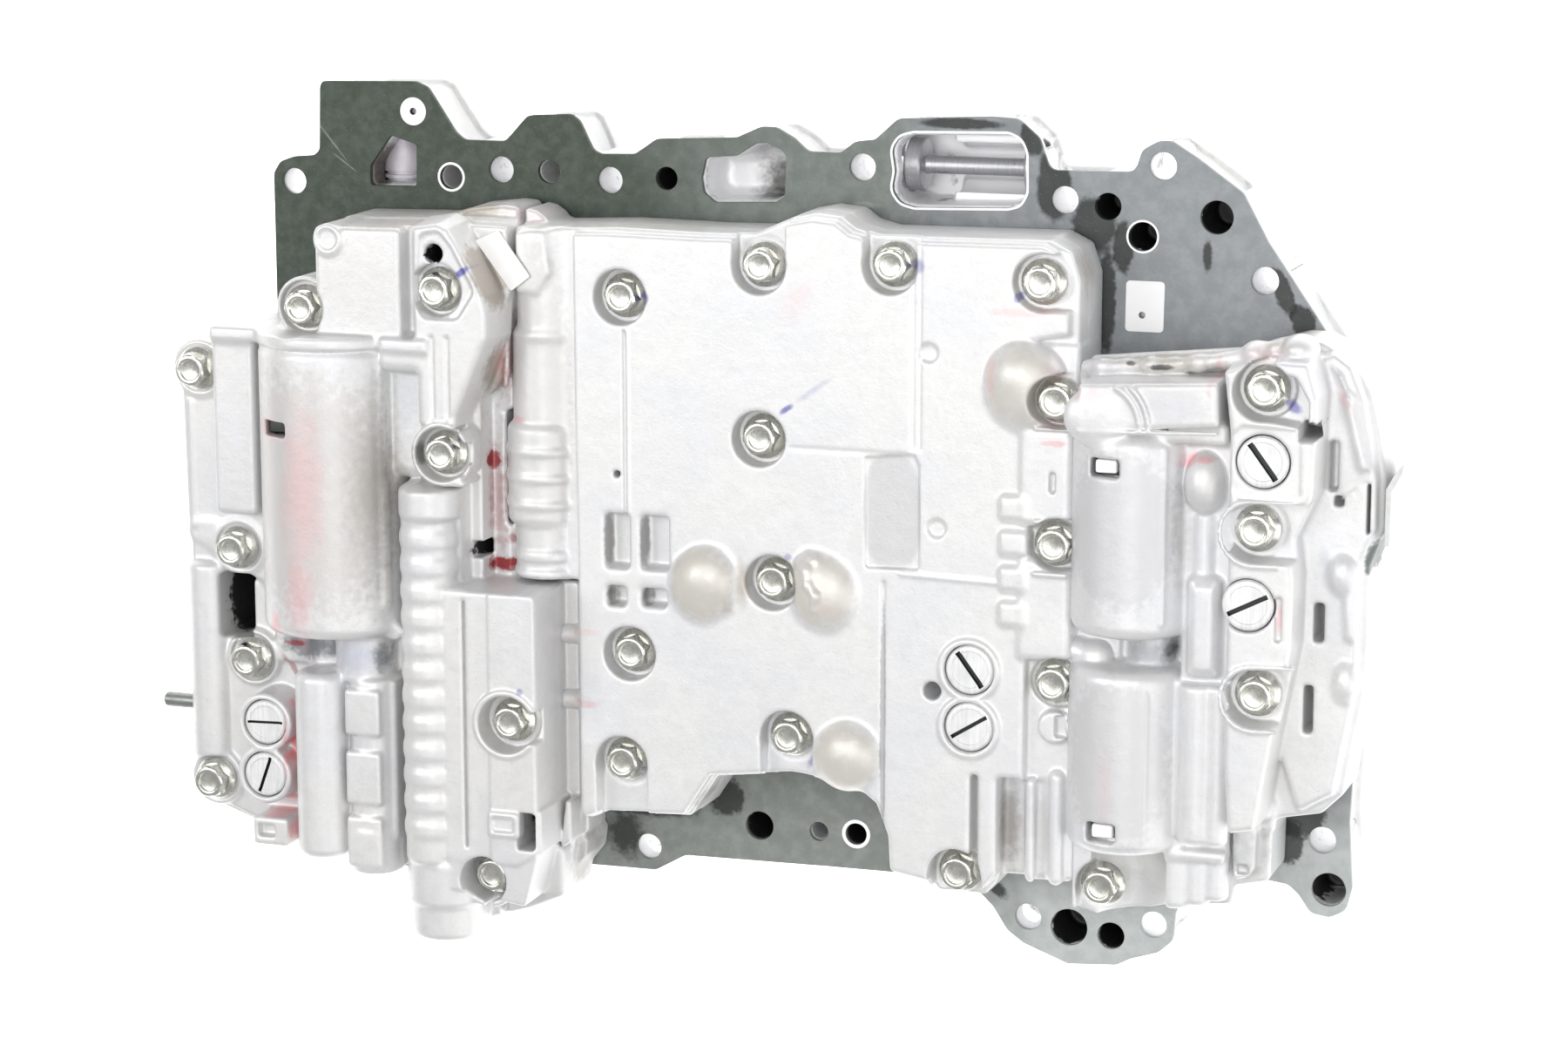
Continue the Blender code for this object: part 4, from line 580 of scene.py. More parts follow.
# Right casting: its own tones, and painted shade where noted; here the near-black on the right of the neck (109.4,
# -20.6) is painted shade
RIGHT_TONES_AND_SHADE = ((dict(x=104.0, y=-21.0, rx=8.0, ry=5.4, z=49, rz=7, soft=0.7), 0.75, (0.34, 0.36, 0.38)), (dict(x=109.4, y=-20.6, rx=3.4, ry=4.8, z=46, rz=8, soft=0.95), 0.9, (0.06, 0.07, 0.07)), (dict(x=158.4, y=5.0, rx=2.6, ry=5.4, turn=-14, soft=0.35), 0.9, (0.10, 0.12, 0.11)), (dict(x=130, y=-71, rx=6, ry=9, z=44, rz=6, soft=0.6), 0.3, MOSS),
               # painted shade: the brown on the slope below the head block (115, 33.5)
               (dict(x=115, y=33.5, rx=9, ry=3.0, z=54, rz=7, soft=0.8), 0.3, BROWN), (dict(x=107.4, y=10, rx=3.6, ry=24, z=54, rz=7, soft=0.9), 0.16, BEIGE), (dict(x=146.5, y=4.6, rx=2.6, ry=4, soft=0.9), 0.22, STEEL),
               (dict(x=101.5, y=-80, rx=4.6, ry=8, z=48, rz=6, soft=0.8), 0.12, STEEL), (dict(x=106, y=50.2, rx=4, ry=1.0, soft=0.5), 0.85, (0.05, 0.05, 0.045)), (dict(x=98, y=50.6, rx=1.6, ry=0.8, soft=0.5), 0.8, (0.05, 0.05, 0.045)),
               # painted shade: the black in the slot at (144.8, 38.5)
               (dict(x=144.8, y=38.5, rx=1.6, ry=2.6, turn=-30, soft=0.3), 0.9, BLACK), (dict(x=98.5, y=11, rx=16, ry=23, z=58, rz=14, soft=0.25), 0.80, (0.62, 0.62, 0.635)), (dict(x=98.2, y=-48, rx=15.5, ry=24, z=58, rz=14, soft=0.25), 0.75, (0.63, 0.63, 0.635)),
               # painted shade: the dark down the first barrel's right flank (x 112.5)
               (dict(x=112.5, y=11, rx=3.0, ry=23, z=52, rz=8, soft=0.9), 0.5, (0.34, 0.33, 0.32)), (dict(x=105, y=43, rx=20, ry=8, z=60, rz=7, soft=0.4), 0.5, (0.62, 0.61, 0.62)),
               # painted shadow: the dark on the right of the screw on the foot (96.4, -82.6)
               (dict(x=118.4, y=22, rx=5.6, ry=8, z=56, rz=6, soft=0.6), 0.2, (0.50, 0.44, 0.40)), (dict(x=96.4, y=-82.6, rx=2.0, ry=4.6, turn=25, z=46, rz=6, soft=0.5), 0.8, (0.05, 0.05, 0.05)), (dict(x=88.5, y=33.5, rx=4, ry=2, z=50, rz=8, soft=0.8), 0.4, BROWN), (dict(x=110, y=52, rx=22, ry=3.0, z=47, rz=8, soft=0.8, rough=0.7), 0.3, BROWN))

CAST_LEFT = cast_metal("cast_left", base=(0.765, 0.76, 0.75), stains=LEFT_STAINS, pens=LEFT_PENS, pools=LEFT_POOLS, crevice_shade=LEFT_CREVICE_SHADE, tones_and_painted_light=LEFT_TONES_AND_SHADE)
CAST_CENTRE = cast_metal("cast_centre", stains=CENTRE_STAINS, pens=CENTRE_PENS, tones_and_painted_light=CENTRE_TONES_AND_SHADE)
CAST_RIGHT = cast_metal("cast_right", base=(0.78, 0.777, 0.772), stains=RIGHT_STAINS, pens=RIGHT_PENS, crevice_shade=RIGHT_CREVICE_SHADE, tones_and_painted_light=RIGHT_TONES_AND_SHADE)
HOLES = ((-139, 84.4), (-78.7, 89.5), (-48, 87.8), (21.1, 93.5), (74.3, 87.1), (99.3, 96.4), (125.6, 68.9), (143.8, -72.6), (67.2, -100.4), (-38.4, -91.3), (100.6, -99.2))
# painted light: the walls of the mount holes and the floors of two windows are painted near white, as if lit
PAINTED_LIT = (0.93, 0.93, 0.94)
UPPER_TONES_LIGHT_AND_SHADE = tuple((dict(x=a, y=b, rx=5.4, ry=5.4, z=9, rz=30, soft=0.1), 1.0, PAINTED_LIT) for a, b in HOLES)
UPPER_TONES_LIGHT_AND_SHADE += ((dict(x=-11, y=90, rx=15, ry=13, z=9, rz=26, soft=0.1), 1.0, PAINTED_LIT), (dict(x=46, y=93, rx=24, ry=16, z=9, rz=26, soft=0.1), 1.0, PAINTED_LIT))
# painted shade: black in the ports, and dark in parts of the three windows (to line 569)
UPPER_TONES_LIGHT_AND_SHADE += tuple((dict(x=a - 0.4, y=b - 0.3, rx=c + 1.6, ry=c + 1.6, z=9, rz=24, soft=0.1), 0.98, BLACK) for a, b, c in
                    ((-32.2, 88.8, 2.9), (85.5, 85.9, 3.3), (94.5, 78.7, 3.5), (113.2, 84.2, 4.1), (-6.9, -82.6, 3.8), (20.1, -82.4, 2.8), (89.4, -103.3, 3.5), (144.4, -85.4, 2.4), (78.2, -102.1, 4.8)))
UPPER_TONES_LIGHT_AND_SHADE += ((dict(x=-5.5, y=88, rx=9.5, ry=14, z=10, rz=18, soft=0.9), 0.93, (0.05, 0.05, 0.045)), (dict(x=-116.0, y=90, rx=5.6, ry=13, z=13, rz=18, soft=0.3), 0.9, (0.10, 0.085, 0.07)),
                (dict(x=38.8, y=91.6, rx=3.4, ry=9.5, z=10, rz=8, soft=0.35), 0.9, (0.07, 0.07, 0.06)), (dict(x=79.6, y=-102.6, rx=0.9, ry=5, z=7, rz=2, soft=0.4), 0.8, BEIGE))
CAST_UPPER = cast_metal("cast_upper", base=(0.70, 0.70, 0.69), tones_and_painted_light=UPPER_TONES_LIGHT_AND_SHADE)
PLATED = plated_metal("plated_screw")
MACHINED = turned_metal("machined_face", (0.80, 0.80, 0.80), 0.30, 0.75, axis=1)
MACHINED_Z = turned_metal("machined_plug", (0.86, 0.86, 0.86), 0.45, 0.45, axis=0, rings=1500)
ANODISED = turned_metal("anodised_spool", (0.50, 0.50, 0.52), 0.30, 0.7, axis=0)
SPRING = turned_metal("spring_wire", (0.40, 0.40, 0.42), 0.25, 1.0)
COATING = coated("plate_coating")
PAPER = plain("label_paper", (0.93, 0.93, 0.92), 0.8, 0.0, 0.03)
DARK = plain("dark_steel", (0.30, 0.31, 0.30), 0.4, 0.7)
FIN = plain("bracket_steel", (0.62, 0.63, 0.62), 0.4, 0.5)
LILAC = plain("plunger_face", (0.66, 0.63, 0.68), 0.5, 0.25)
# painted shade: near black for the plug slots and the key that sits in shade
SLOT_SHADE = plain("slot_shade_black", (0.06, 0.065, 0.06), 0.45, 0.6)
# pure white: partly bare metal, partly a painted highlight on rims and keys
BARE_RIM_HIGHLIGHT = plain("bare_rim_highlight", (1.0, 1.0, 1.0), 0.45, 0.0, 0.02)

# =====================================================================================
# Layout, mm: the same numbers as the solids
# =====================================================================================
SCREWS = [(-156.5, 36.5, 48), (-121.0, 55.5, 54), (-82.0, 62.0, 56), (-81.0, 19.5, 56), (-146.0, -11.5, 48), (-142.5, -41.5, 48), (-154.5, -76.0, 48),
          (-62.5, -50.0, 57), (-70.0, -93.0, 52), (-35.5, 61.0, 44), (2.0, 70.5, 44), (36.5, 72.0, 44), (75.5, 69.5, 46), (2.0, 26.5, 44), (5.5, -10.5, 44),
          (-33.5, -32.0, 44), (-36.0, -61.5, 44), (9.5, -51.0, 44), (54.5, -83.5, 42), (80.0, 40.5, 47), (80.0, 4.5, 47), (133.0, 47.0, 52), (131.5, 12.5, 52),
          (132.5, -28.5, 52), (92.0, -83.5, 42), (80.0, -31.0, 46)]
PLATE_OUTLINE = [
    (-145, 44), (-145, 86.5), (-143, 89.6), (-139, 91), (-133, 91.5), (-131.3, 93), (-130.8, 110), (-130, 111.4), (-103, 112), (-99.6, 110.6), (-91.8, 99), (-89.3, 97),
    (-77.4, 97), (-71, 104), (-58.8, 104.7), (-56.5, 103), (-52.8, 95.5), (-50.6, 94.5), (-41, 94.8), (-35, 99), (-13, 100), (-6.4, 103), (-2.4, 103), (2.6, 100.3),
    (6.4, 97), (15.3, 97), (19, 100), (24.3, 100.6), (30.5, 106.2), (55.2, 107.4), (62, 107), (67.5, 102.3), (70.3, 94.4), (92.2, 94.7), (93.9, 100.3), (98, 102.6),
    (101.4, 102.7), (108.3, 98.4), (119.6, 90.4), (126.2, 78.4), (144.3, 52.4), (150.5, 40), (151, -56), (150.6, -67), (151.7, -84.4), (150.3, -90.5),
    (146.2, -92.7), (141.3, -92), (138, -87.3), (135.3, -85), (130.3, -84.4), (112, -84.6), (106.3, -95.6), (105.8, -103), (102, -106.5), (94.6, -109),
    (91, -111), (78, -112), (66, -107.6), (61.6, -104.5), (57.7, -98.5), (53.5, -94.5), (36.4, -91.8), (12.2, -92), (-27.9, -92.7), (-36.4, -97.6),
    (-53.6, -97.8), (-65, -98.2), (-100, -97.5), (-112, -92), (-150, -86), (-159.6, -80), (-160.6, 38), (-157, 43)]
MOUNT_HOLES = [(-139, 84.4), (-78.7, 89.5), (-48, 87.8), (21.1, 93.5), (74.3, 87.1), (99.3, 96.4), (125.6, 68.9), (143.8, -72.6), (67.2, -100.4), (-38.4, -91.3), (100.6, -99.2)]
PORTS = [(-65.1, 89.5, 3.1), (-32.2, 88.8, 3.0), (85.5, 85.9, 3.4), (94.5, 78.7, 3.6), (113.2, 84.2, 4.2), (-6.9, -82.6, 3.9), (9.7, -82.7, 2.6), (20.1, -82.4, 2.9),
         (-93, 87.1, 3.2), (78.2, -102.1, 4.9), (89.4, -103.3, 3.6), (145.8, -85.4, 4.4)]
ORIFICES = [(-103.7, 104.1, 0.95), (94.7, 59.0, 0.85)]
RINGS = [(94.5, 78.7, 3.7, 4.2), (20.1, -82.4, 2.95, 3.9), (-93.0, 87.1, 3.25, 3.9), (-103.7, 104.1, 0.95, 3.7)]      # bare metal round a port, painted pure white as a highlight: x, y, inner, outer
WINDOW_1 = [(-116.6, 84), (-116.5, 89.3), (-110.4, 97.6), (-102.9, 95.3), (-103.1, 84.3)]
WINDOW_2 = [(-21.4, 94.6), (-13.0, 95.3), (-7.7, 98.6), (-4.7, 98.9), (-0.6, 97.2), (0.6, 95.5), (0.2, 85.5), (-2.4, 83.7), (-19.0, 83.1), (-22.0, 85.5), (-22.6, 89.1)]
WINDOW_3 = [(28.9, 98.5), (31, 101.6), (34.5, 102.6), (59.6, 103.2), (62.8, 101.8), (64.2, 98.5), (64.4, 88.5), (62.8, 85.4), (59.8, 84.5), (35, 83.8), (31.2, 84.8), (28.9, 88.0), (29.8, 92.8)]
STEP = 0.55
MOST = 185000


def seat(f, index, r=7.1, top=80.0, slot=None, k=0.7):
    x, y, z = SCREWS[index]
    f.rod("Z", (x, y), z, top, r, 0.3, k, False)
    f.rod("Z", (x, y), 10, z + 1, 2.9, 0.2, 0.3, False)
    if slot:
        ex, ey = slot
        w = r * 0.985
        low = (min(x - (w if not ex else 0), x + ex), min(y - (w if not ey else 0), y + ey), z + 0.02)
        high = (max(x + (w if not ex else 0), x + ex), max(y + (w if not ey else 0), y + ey), top)
        f.box(low, high, 0.3, k, False)


# ---- lower left body ----------------------------------------------------------------
def left_body():
    f = Field((-165, -112.5, 24.3), (-44, 83.5, 70.2), STEP)
    outline = [(-115.5, 78), (-75.5, 79), (-66.2, 78.6), (-65.4, 61), (-67.6, 50), (-67.8, 29.4), (-70.7, 28.4), (-70.7, -0.6), (-68.8, -1.8), (-68.8, -14.9), (-49.9, -15.3), (-49.9, -78), (-51.6, -84),
               (-53.6, -93), (-61.6, -99.8), (-77, -108.6), (-92, -110.6), (-94, -99), (-112, -96.5), (-137, -92), (-160, -84), (-163.4, -76), (-162.6, -20), (-163.6, 30), (-163.6, 42.5), (-157, 45),
               (-130, 46), (-128.5, 61), (-116, 64)]
    f.prism(outline, 24.3, 43, 1.0, 0.5, True, 0.4, 1.6)
    # top left block with its flat boss, and the pad of the screw beside it
    f.prism([(-116.6, 77.8), (-91.2, 78.2), (-91.2, 45), (-116.6, 45)], 24.8, 60.2, 1.5, 1.0, True, 1.0, 2.0)
    f.rod("Z", (-111.9, 74.0), 40, 61.0, 4.1, 0.7, 1.0)
    f.rod("Z", (-111.9, 74.0), 60.5, 70, 2.7, 0.4, 0.6, False)
    f.prism([(-131, 44), (-109, 44), (-109, 63), (-128.5, 62)], 25, 54.6, 1.5, 1.6, True, 1.5, 2.5)
    f.rod("Z", (-121.0, 55.5), 30, 56.6, 8.0, 0.9, 1.2)
    f.box((-93, 47, 30), (-86, 77.6, 54.5), 0.8, 1.0)
    # rounded flange behind the pear-shaped plateau
    f.prism([(-89, 77), (-86.5, 79.0), (-80.6, 81.4), (-70.8, 82.6), (-66.4, 82.2), (-66.4, 76)], 24.6, 41.5, 1.4, 1.6, True, 1.0, 1.5)
    # pear-shaped plateau that runs on as the shelf beside the barrel
    pear = [(-88.3, 78.2), (-81.3, 79.2), (-78.5, 78.0), (-76.1, 74.3), (-73.1, 68.8), (-70.5, 64.5), (-68.8, 61.2), (-67.9, 56.8), (-68.0, 50.1), (-71.2, 43.1), (-75.0, 33.9), (-77.0, 29.3), (-77.8, 12.2), (-98, 12.2), (-98, 46), (-88.3, 47)]
    f.prism([(-94, 77.4), (-79.4, 78.5), (-68.3, 61.2), (-67.9, 54), (-68.6, 46.4), (-75, 30.2), (-77, 12), (-98, 11.8), (-97.8, 47)], 25, 50, 1.0, 0.8, True, 0.0, 2.0)
    f.prism(inset(pear, -1.5), 46, 60.5, 1.3, 1.0, True, 6.5, 2.0)
    f.prism([(-80, 78.2), (-66.6, 77.8), (-65.9, 61), (-67.4, 55), (-70, 56)], 27, 49.2, 0.8, 0.8, True, 0.5, 1.0)
    f.box((-70.0, 50.6, 40), (-67.3, 60, 50.4), 0.5, 0.5)
    f.prism([(-66.9, 60), (-67.9, 40), (-75, 30), (-80, 34), (-72, 60)], 30, 46.5, 0.9, 1.0, True, 0, 1.0)
    for a, b in (((-67.2, 58), (-67.9, 50)), ((-67.9, 50), (-68.2, 40)), ((-68.2, 40), (-69.2, 31)), ((-69.2, 31), (-70.9, 27)), ((-70.9, 27), (-71.4, 12)), ((-71.4, 12), (-71.3, 0))):
        f.bar((*a, 46.6 if a[1] > 30 else 43.4), (*b, 46.6 if b[1] > 30 else 43.4), 0.75, 0.8)
    # ledge and flat floor between the ribbed housing and the trench
    f.prism([(-82, 36), (-74.2, 34.5), (-73.9, 2.4), (-74.0, -17), (-84, -18), (-84, 2)], 28, 50, 0.7, 0.8, True, 0.0, 0.8)
    # west strip and the pads under the outer screws
    f.box((-149.4, -1.4, 29), (-137.2, 46.4, 55), 1.6, 1.6)
    f.prism([(-162.8, 41.8), (-150, 44.4), (-136, 44), (-134, -25), (-152, -15), (-162, -10)], 24.6, 48, 1.4, 1.2, True, 1.5, 3.0)
    f.rod("Z", (-156.5, 36.5), 26, 48.4, 7.6, 1.2, 1.6)
    f.bar((-159.2, 27, 47.6), (-159.2, -6, 47.6), 0.8, 1.0)
    # large accumulator, with the ledge across its closed mouth
    f.rod("Y", (-116.0, 49.0), -30.8, 46.4, 20.0, 3.2, 1.6)
    f.rod("Y", (-116.0, 49.0), 45.8, 49.2, 20.2, 0.9, 0.8)
    f.box((-149.4, 45.4, 27), (-84, 49.2, 56.0), 1.2, 2.0)
    f.box((-97.5, 45.6, 27), (-84.5, 49.0, 61.4), 0.9, 1.4)
    f.box((-135.6, -30, 26), (-96.4, 45, 49), 2.4, 1.0)
    f.bar((-99.0, 40, 57.6), (-99.0, -22, 57.6), 1.0, 2.0)
    # neck between the barrels
    f.box((-136, -42, 27), (-95, -28, 49.0), 1.2, 1.6)
    f.rod("Y", (-107.6, 51.6), -43.5, -29, 8.0, 1.2, 1.8)
    f.rod("Y", (-107.6, 51.6), -43.6, -41.2, 7.2, 0.8, 1.0)
    f.rod("Y", (-120.6, 47.6), -43, -29, 4.6, 1.2, 2.4)
    f.rod("Z", (-97.4, -29.5), 40, 56.5, 2.4, 1.0, 2.0)
    # lower deck with the second barrel and the column
    f.prism([(-161.8, -19), (-136, -20), (-135, -40), (-96, -40), (-96, -94), (-113, -94.5), (-137, -90.6), (-159, -82), (-161.8, -74)], 24.6, 47, 1.4, 1.2, True, 1.5, 2.5)
    f.rod("Y", (-156.2, 44.6), -71, -16.2, 6.2, 2.0, 1.2)
    f.rod("Z", (-142.5, -41.5), 26, 49.0, 7.8, 0.9, 1.2)
    f.rod("Z", (-146.0, -11.5), 26, 48.4, 7.8, 1.0, 1.4)
    f.prism([(-161, -4), (-150, -4), (-150, -18), (-157, -19), (-161, -16)], 26, 48.2, 1.2, 1.6, True, 1.5, 3.0)
    f.rod("Z", (-154.5, -76.0), 26, 48.4, 7.6, 1.0, 1.4)
    f.rod("Z", (-135.1, -56.9), 26, 58, 7.9, 0.9, 0.8)
    f.rod("Z", (-135.5, -71.3), 26, 58, 7.9, 0.9, 0.8)
    f.box((-131.5, -72, 26), (-124.5, -56, 51.0), 1.0, 1.2)
    f.box((-139.6, -91, 26), (-129.2, -83.2, 57.4), 1.0, 1.2)
    f.box((-131, -92, 26), (-110, -84, 49), 1.2, 1.4)
    f.rod("Y", (-118.4, 56.3), -91.8, -41.2, 7.2, 2.6, 1.2)
    f.box((-125.4, -91, 26), (-111.6, -42, 56), 2.0, 1.0)
    f.box((-112.5, -86, 30), (-97.5, -43, 56.0), 1.0, 1.2)
    f.rod("Y", (-104.6, 53.6), -84, -42.4, 6.3, 1.4, 1.0)
    f.box((-110.6, -84, 30), (-98.6, -42.8, 53.6), 1.0, 1.0)
    for y0, y1 in ((-57.6, -45.0), (-76.4, -61.8), (-93.6, -79.6)):
        f.box((-110.4, y0, 50), (-100.2, y1, 60.4), 1.1, 0.8)
    f.rod("Y", (-104.6, 53.8), -95.4, -83.6, 6.6, 0.8, 1.4)
    f.box((-111.2, -95, 30), (-97.6, -84, 53), 1.0, 1.2)
    # long ribbed valve housing, its ribs hardly raised
    f.rod("Y", (-85.8, 58.0), -90, 10.6, 7.4, 1.6, 0.9)
    f.rod("Y", (-85.2, 58.2), 2.2, 11.6, 8.3, 1.8, 0.8)
    f.box((-94.4, -90, 28), (-77.6, 11, 57), 1.6, 1.0)
    for i in range(12):
        y = -0.6 - i * 7.05
        f.rod("Y", (-85.8, 58.0), y - 4.4, y, 7.6, 1.4, 1.3)
        f.box((-94.8, y - 4.2, 40), (-91.0, y - 0.4, 55.6), 0.8, 1.4)
    f.rod("Y", (-83.8, 53.8), -110.9, -89, 9.8, 1.8, 1.2)
    f.rod("Y", (-83.8, 53.8), -101.8, -89, 10.7, 1.6, 1.0)
    f.box((-93.8, -110.4, 28), (-74.0, -88, 52), 1.4, 1.0)
    f.box((-94.6, -101.4, 28), (-73.0, -88, 52), 1.4, 1.0)
    # flat land on the right with its upright east wall, and the lower shelf past it
    f.prism([(-80, -15.4), (-54.3, -15.5), (-54.3, -84.6), (-58.0, -99.0), (-80, -96)], 24.6, 63.4, 0.9, 0.7, True, 0.0, 1.2)
    f.prism([(-67.4, -15.4), (-54.3, -15.5), (-54.3, -84.6), (-60.0, -88.0), (-67.4, -88)], 50, 64.0, 0.6, 0.6, True, 0.0, 1.2)
    f.box((-83, -88, 40), (-72, -16, 62.4), 1.2, 2.4)
    f.box((-57, -84, 28), (-49.9, -15.6, 38.8), 0.6, 0.8)
    for x in (-53.7, -52.2):
        f.bar((x, -17, 30 if x < -53 else 38.8), (x, -72, 30 if x < -53 else 38.8), 0.8, 0.8)
    f.rod("Z", (-70.0, -93.0), 28, 59.6, 8.3, 1.0, 1.2)
    f.prism([(-79, -84), (-52.8, -85.8), (-52.8, -99.6), (-62.2, -103.8), (-70, -106.4), (-79, -109)], 28, 49.0, 1.2, 1.4, True, 0.5, 2.0)
    f.prism([(-63, -82), (-52.3, -82), (-49.6, -86), (-50.2, -91), (-55, -97), (-62.2, -103.8)], 24.4, 40, 0.9, 1.6, True, 1.0, 2.0)
    f.bar((-70.65, 28.6, 42.0), (-70.65, -0.4, 42.0), 0.5, 0.8)
    f.bar((-68.5, -1.6, 41.5), (-68.5, -14.6, 41.5), 0.6, 0.8)
    # ---- cuts
    # lower ground to the left of the fourth screw, whose raised ring is open on the right
    f.box((-97.4, 12.0, 54.5), (-88.0, 40, 80), 1.0, 3.4, False)
    f.box((-89.4, 10.4, 52), (-76.0, 13.2, 80), 0.8, 0.8, False)
    f.box((-88.8, 11.8, 57.6), (-74.0, 26.8, 80), 1.2, 0.8, False)
    f.rod("Z", (-81.0, 19.5), 50, 61.0, 8.3, 0.6, 0.5)
    f.box((-81, 11.2, 50), (-74.6, 13.0, 61.0), 0.7, 0.5)
    f.rod("Z", (-81.0, 19.5), 56, 80, 6.9, 0.3, 0.5, False)
    f.box((-80, 14.0, 58.4), (-70, 22.4, 80), 0.6, 0.6, False)
    f.rod("Z", (-76.9, 25.6), 54, 80, 0.9, 0.2, 0.4, False)
    for i in (0, 1, 2, 3, 4, 5, 6):
        seat(f, i, 6.9 if i in (1, 2, 3) else 6.4)
    f.rod("Z", (-62.5, -50.0), 60, 64.7, 9.2, 0.7, 0.5)
    seat(f, 7, 7.6)
    f.box((-60.5, -54.6, 58.6), (-50, -46.2, 80), 0.6, 0.6, False)
    seat(f, 8, 6.5)
    f.box((-71.2, -110, 46), (-69.0, -98.6, 80), 0.5, 0.5, False)
    f.prism([(-86.6, 70.5), (-86.0, 76.4), (-80.9, 77.3), (-77.6, 73.6), (-74.6, 68.2), (-71.2, 62.0), (-76, 54.6), (-86.6, 54.6)], 59.7, 80, 0.6, 0.7, False, 0, 2.5)
    f.rod("Z", (-82.6, 71.4), 40, 80, 2.5, 0.3, 0.6, False)
    for x in (-79.0, -83.2):
        f.box((x - 0.45, 28.5, 60.0), (x + 0.45, 50, 70), 0.3, 0.8, False)
    f.rod("Y", (-116.0, 49.0), -27.5, 43.8, 16.4, 0.6, 0.8, False)
    f.box((-129.4, 22.5, 46), (-121.8, 26.5, 80), 0.7, 0.6, False)
    f.rod("Z", (-135.1, -56.9), 46.2, 80, 6.3, 0.3, 0.5, False)
    f.rod("Z", (-135.5, -71.3), 46.4, 80, 6.3, 0.3, 0.5, False)
    f.box((-138.0, -88.6, 54.6), (-133.2, -85.2, 80), 0.6, 0.6, False)
    f.rod("Y", (-85.6, 55.0), -106, 4, 5.2, 0.3, 0.4, False)
    f.rod("Y", (-85.6, 55.0), -120, -98, 6.5, 0.3, 0.4, False)
    f.rod("Y", (-105.0, 52.6), -92, -47, 3.9, 0.3, 0.4, False)
    f.rod("Y", (-105.0, 52.6), -105, -87, 4.9, 0.3, 0.4, False)
    f.rod("X", (-56.2, 44.6), -180, -154, 2.4, 0.2, 0.4, False)
    # trench beside the centre body, its slot, and the gap behind the barrel; the slot and the gap are painted black as
    # shade in the left casting's colours
    f.prism([(-60, 50.5), (-67.3, 36), (-74.0, 33.0), (-73.9, 12), (-73.9, -15.2), (-60, -15.2)], 43.2, 80, 0.8, 1.0, False, 0, 0.8)
    f.box((-77.2, -9.5, 36), (-74.3, -5.0, 80), 0.5, 0.5, False)
    f.box((-152.0, -36.6, 18), (-142.6, -19.0, 60), 1.2, 0.8, False)
    f.box((-59.8, -83.4, 30), (-54.9, -73.4, 80), 0.8, 0.6, False)
    f.box((-54.7, -84.4, 40), (-53.3, -72.6, 63.0), 0.4, 0.5)
    f.box((-74.6, -84, 61.6), (-73.9, -18, 80), 0.3, 0.9, False)
    # bright wedge beside the window, which is painted black as shade, and the raised square ring
    f.prism([(-53.4, -86.4), (-50.4, -84), (-50.4, -73), (-51.8, -73)], 24.6, 50.0, 0.6, 0.6, True, 0, 0.4)
    f.box((-67.9, -80.4, 60), (-58.9, -73.4, 64.8), 1.0, 0.5)
    f.box((-66.4, -78.9, 63.9), (-60.4, -74.9, 70), 0.8, 0.5, False)
    return build("left_casting", f, MOST, CAST_LEFT, ("lower_body_left",))


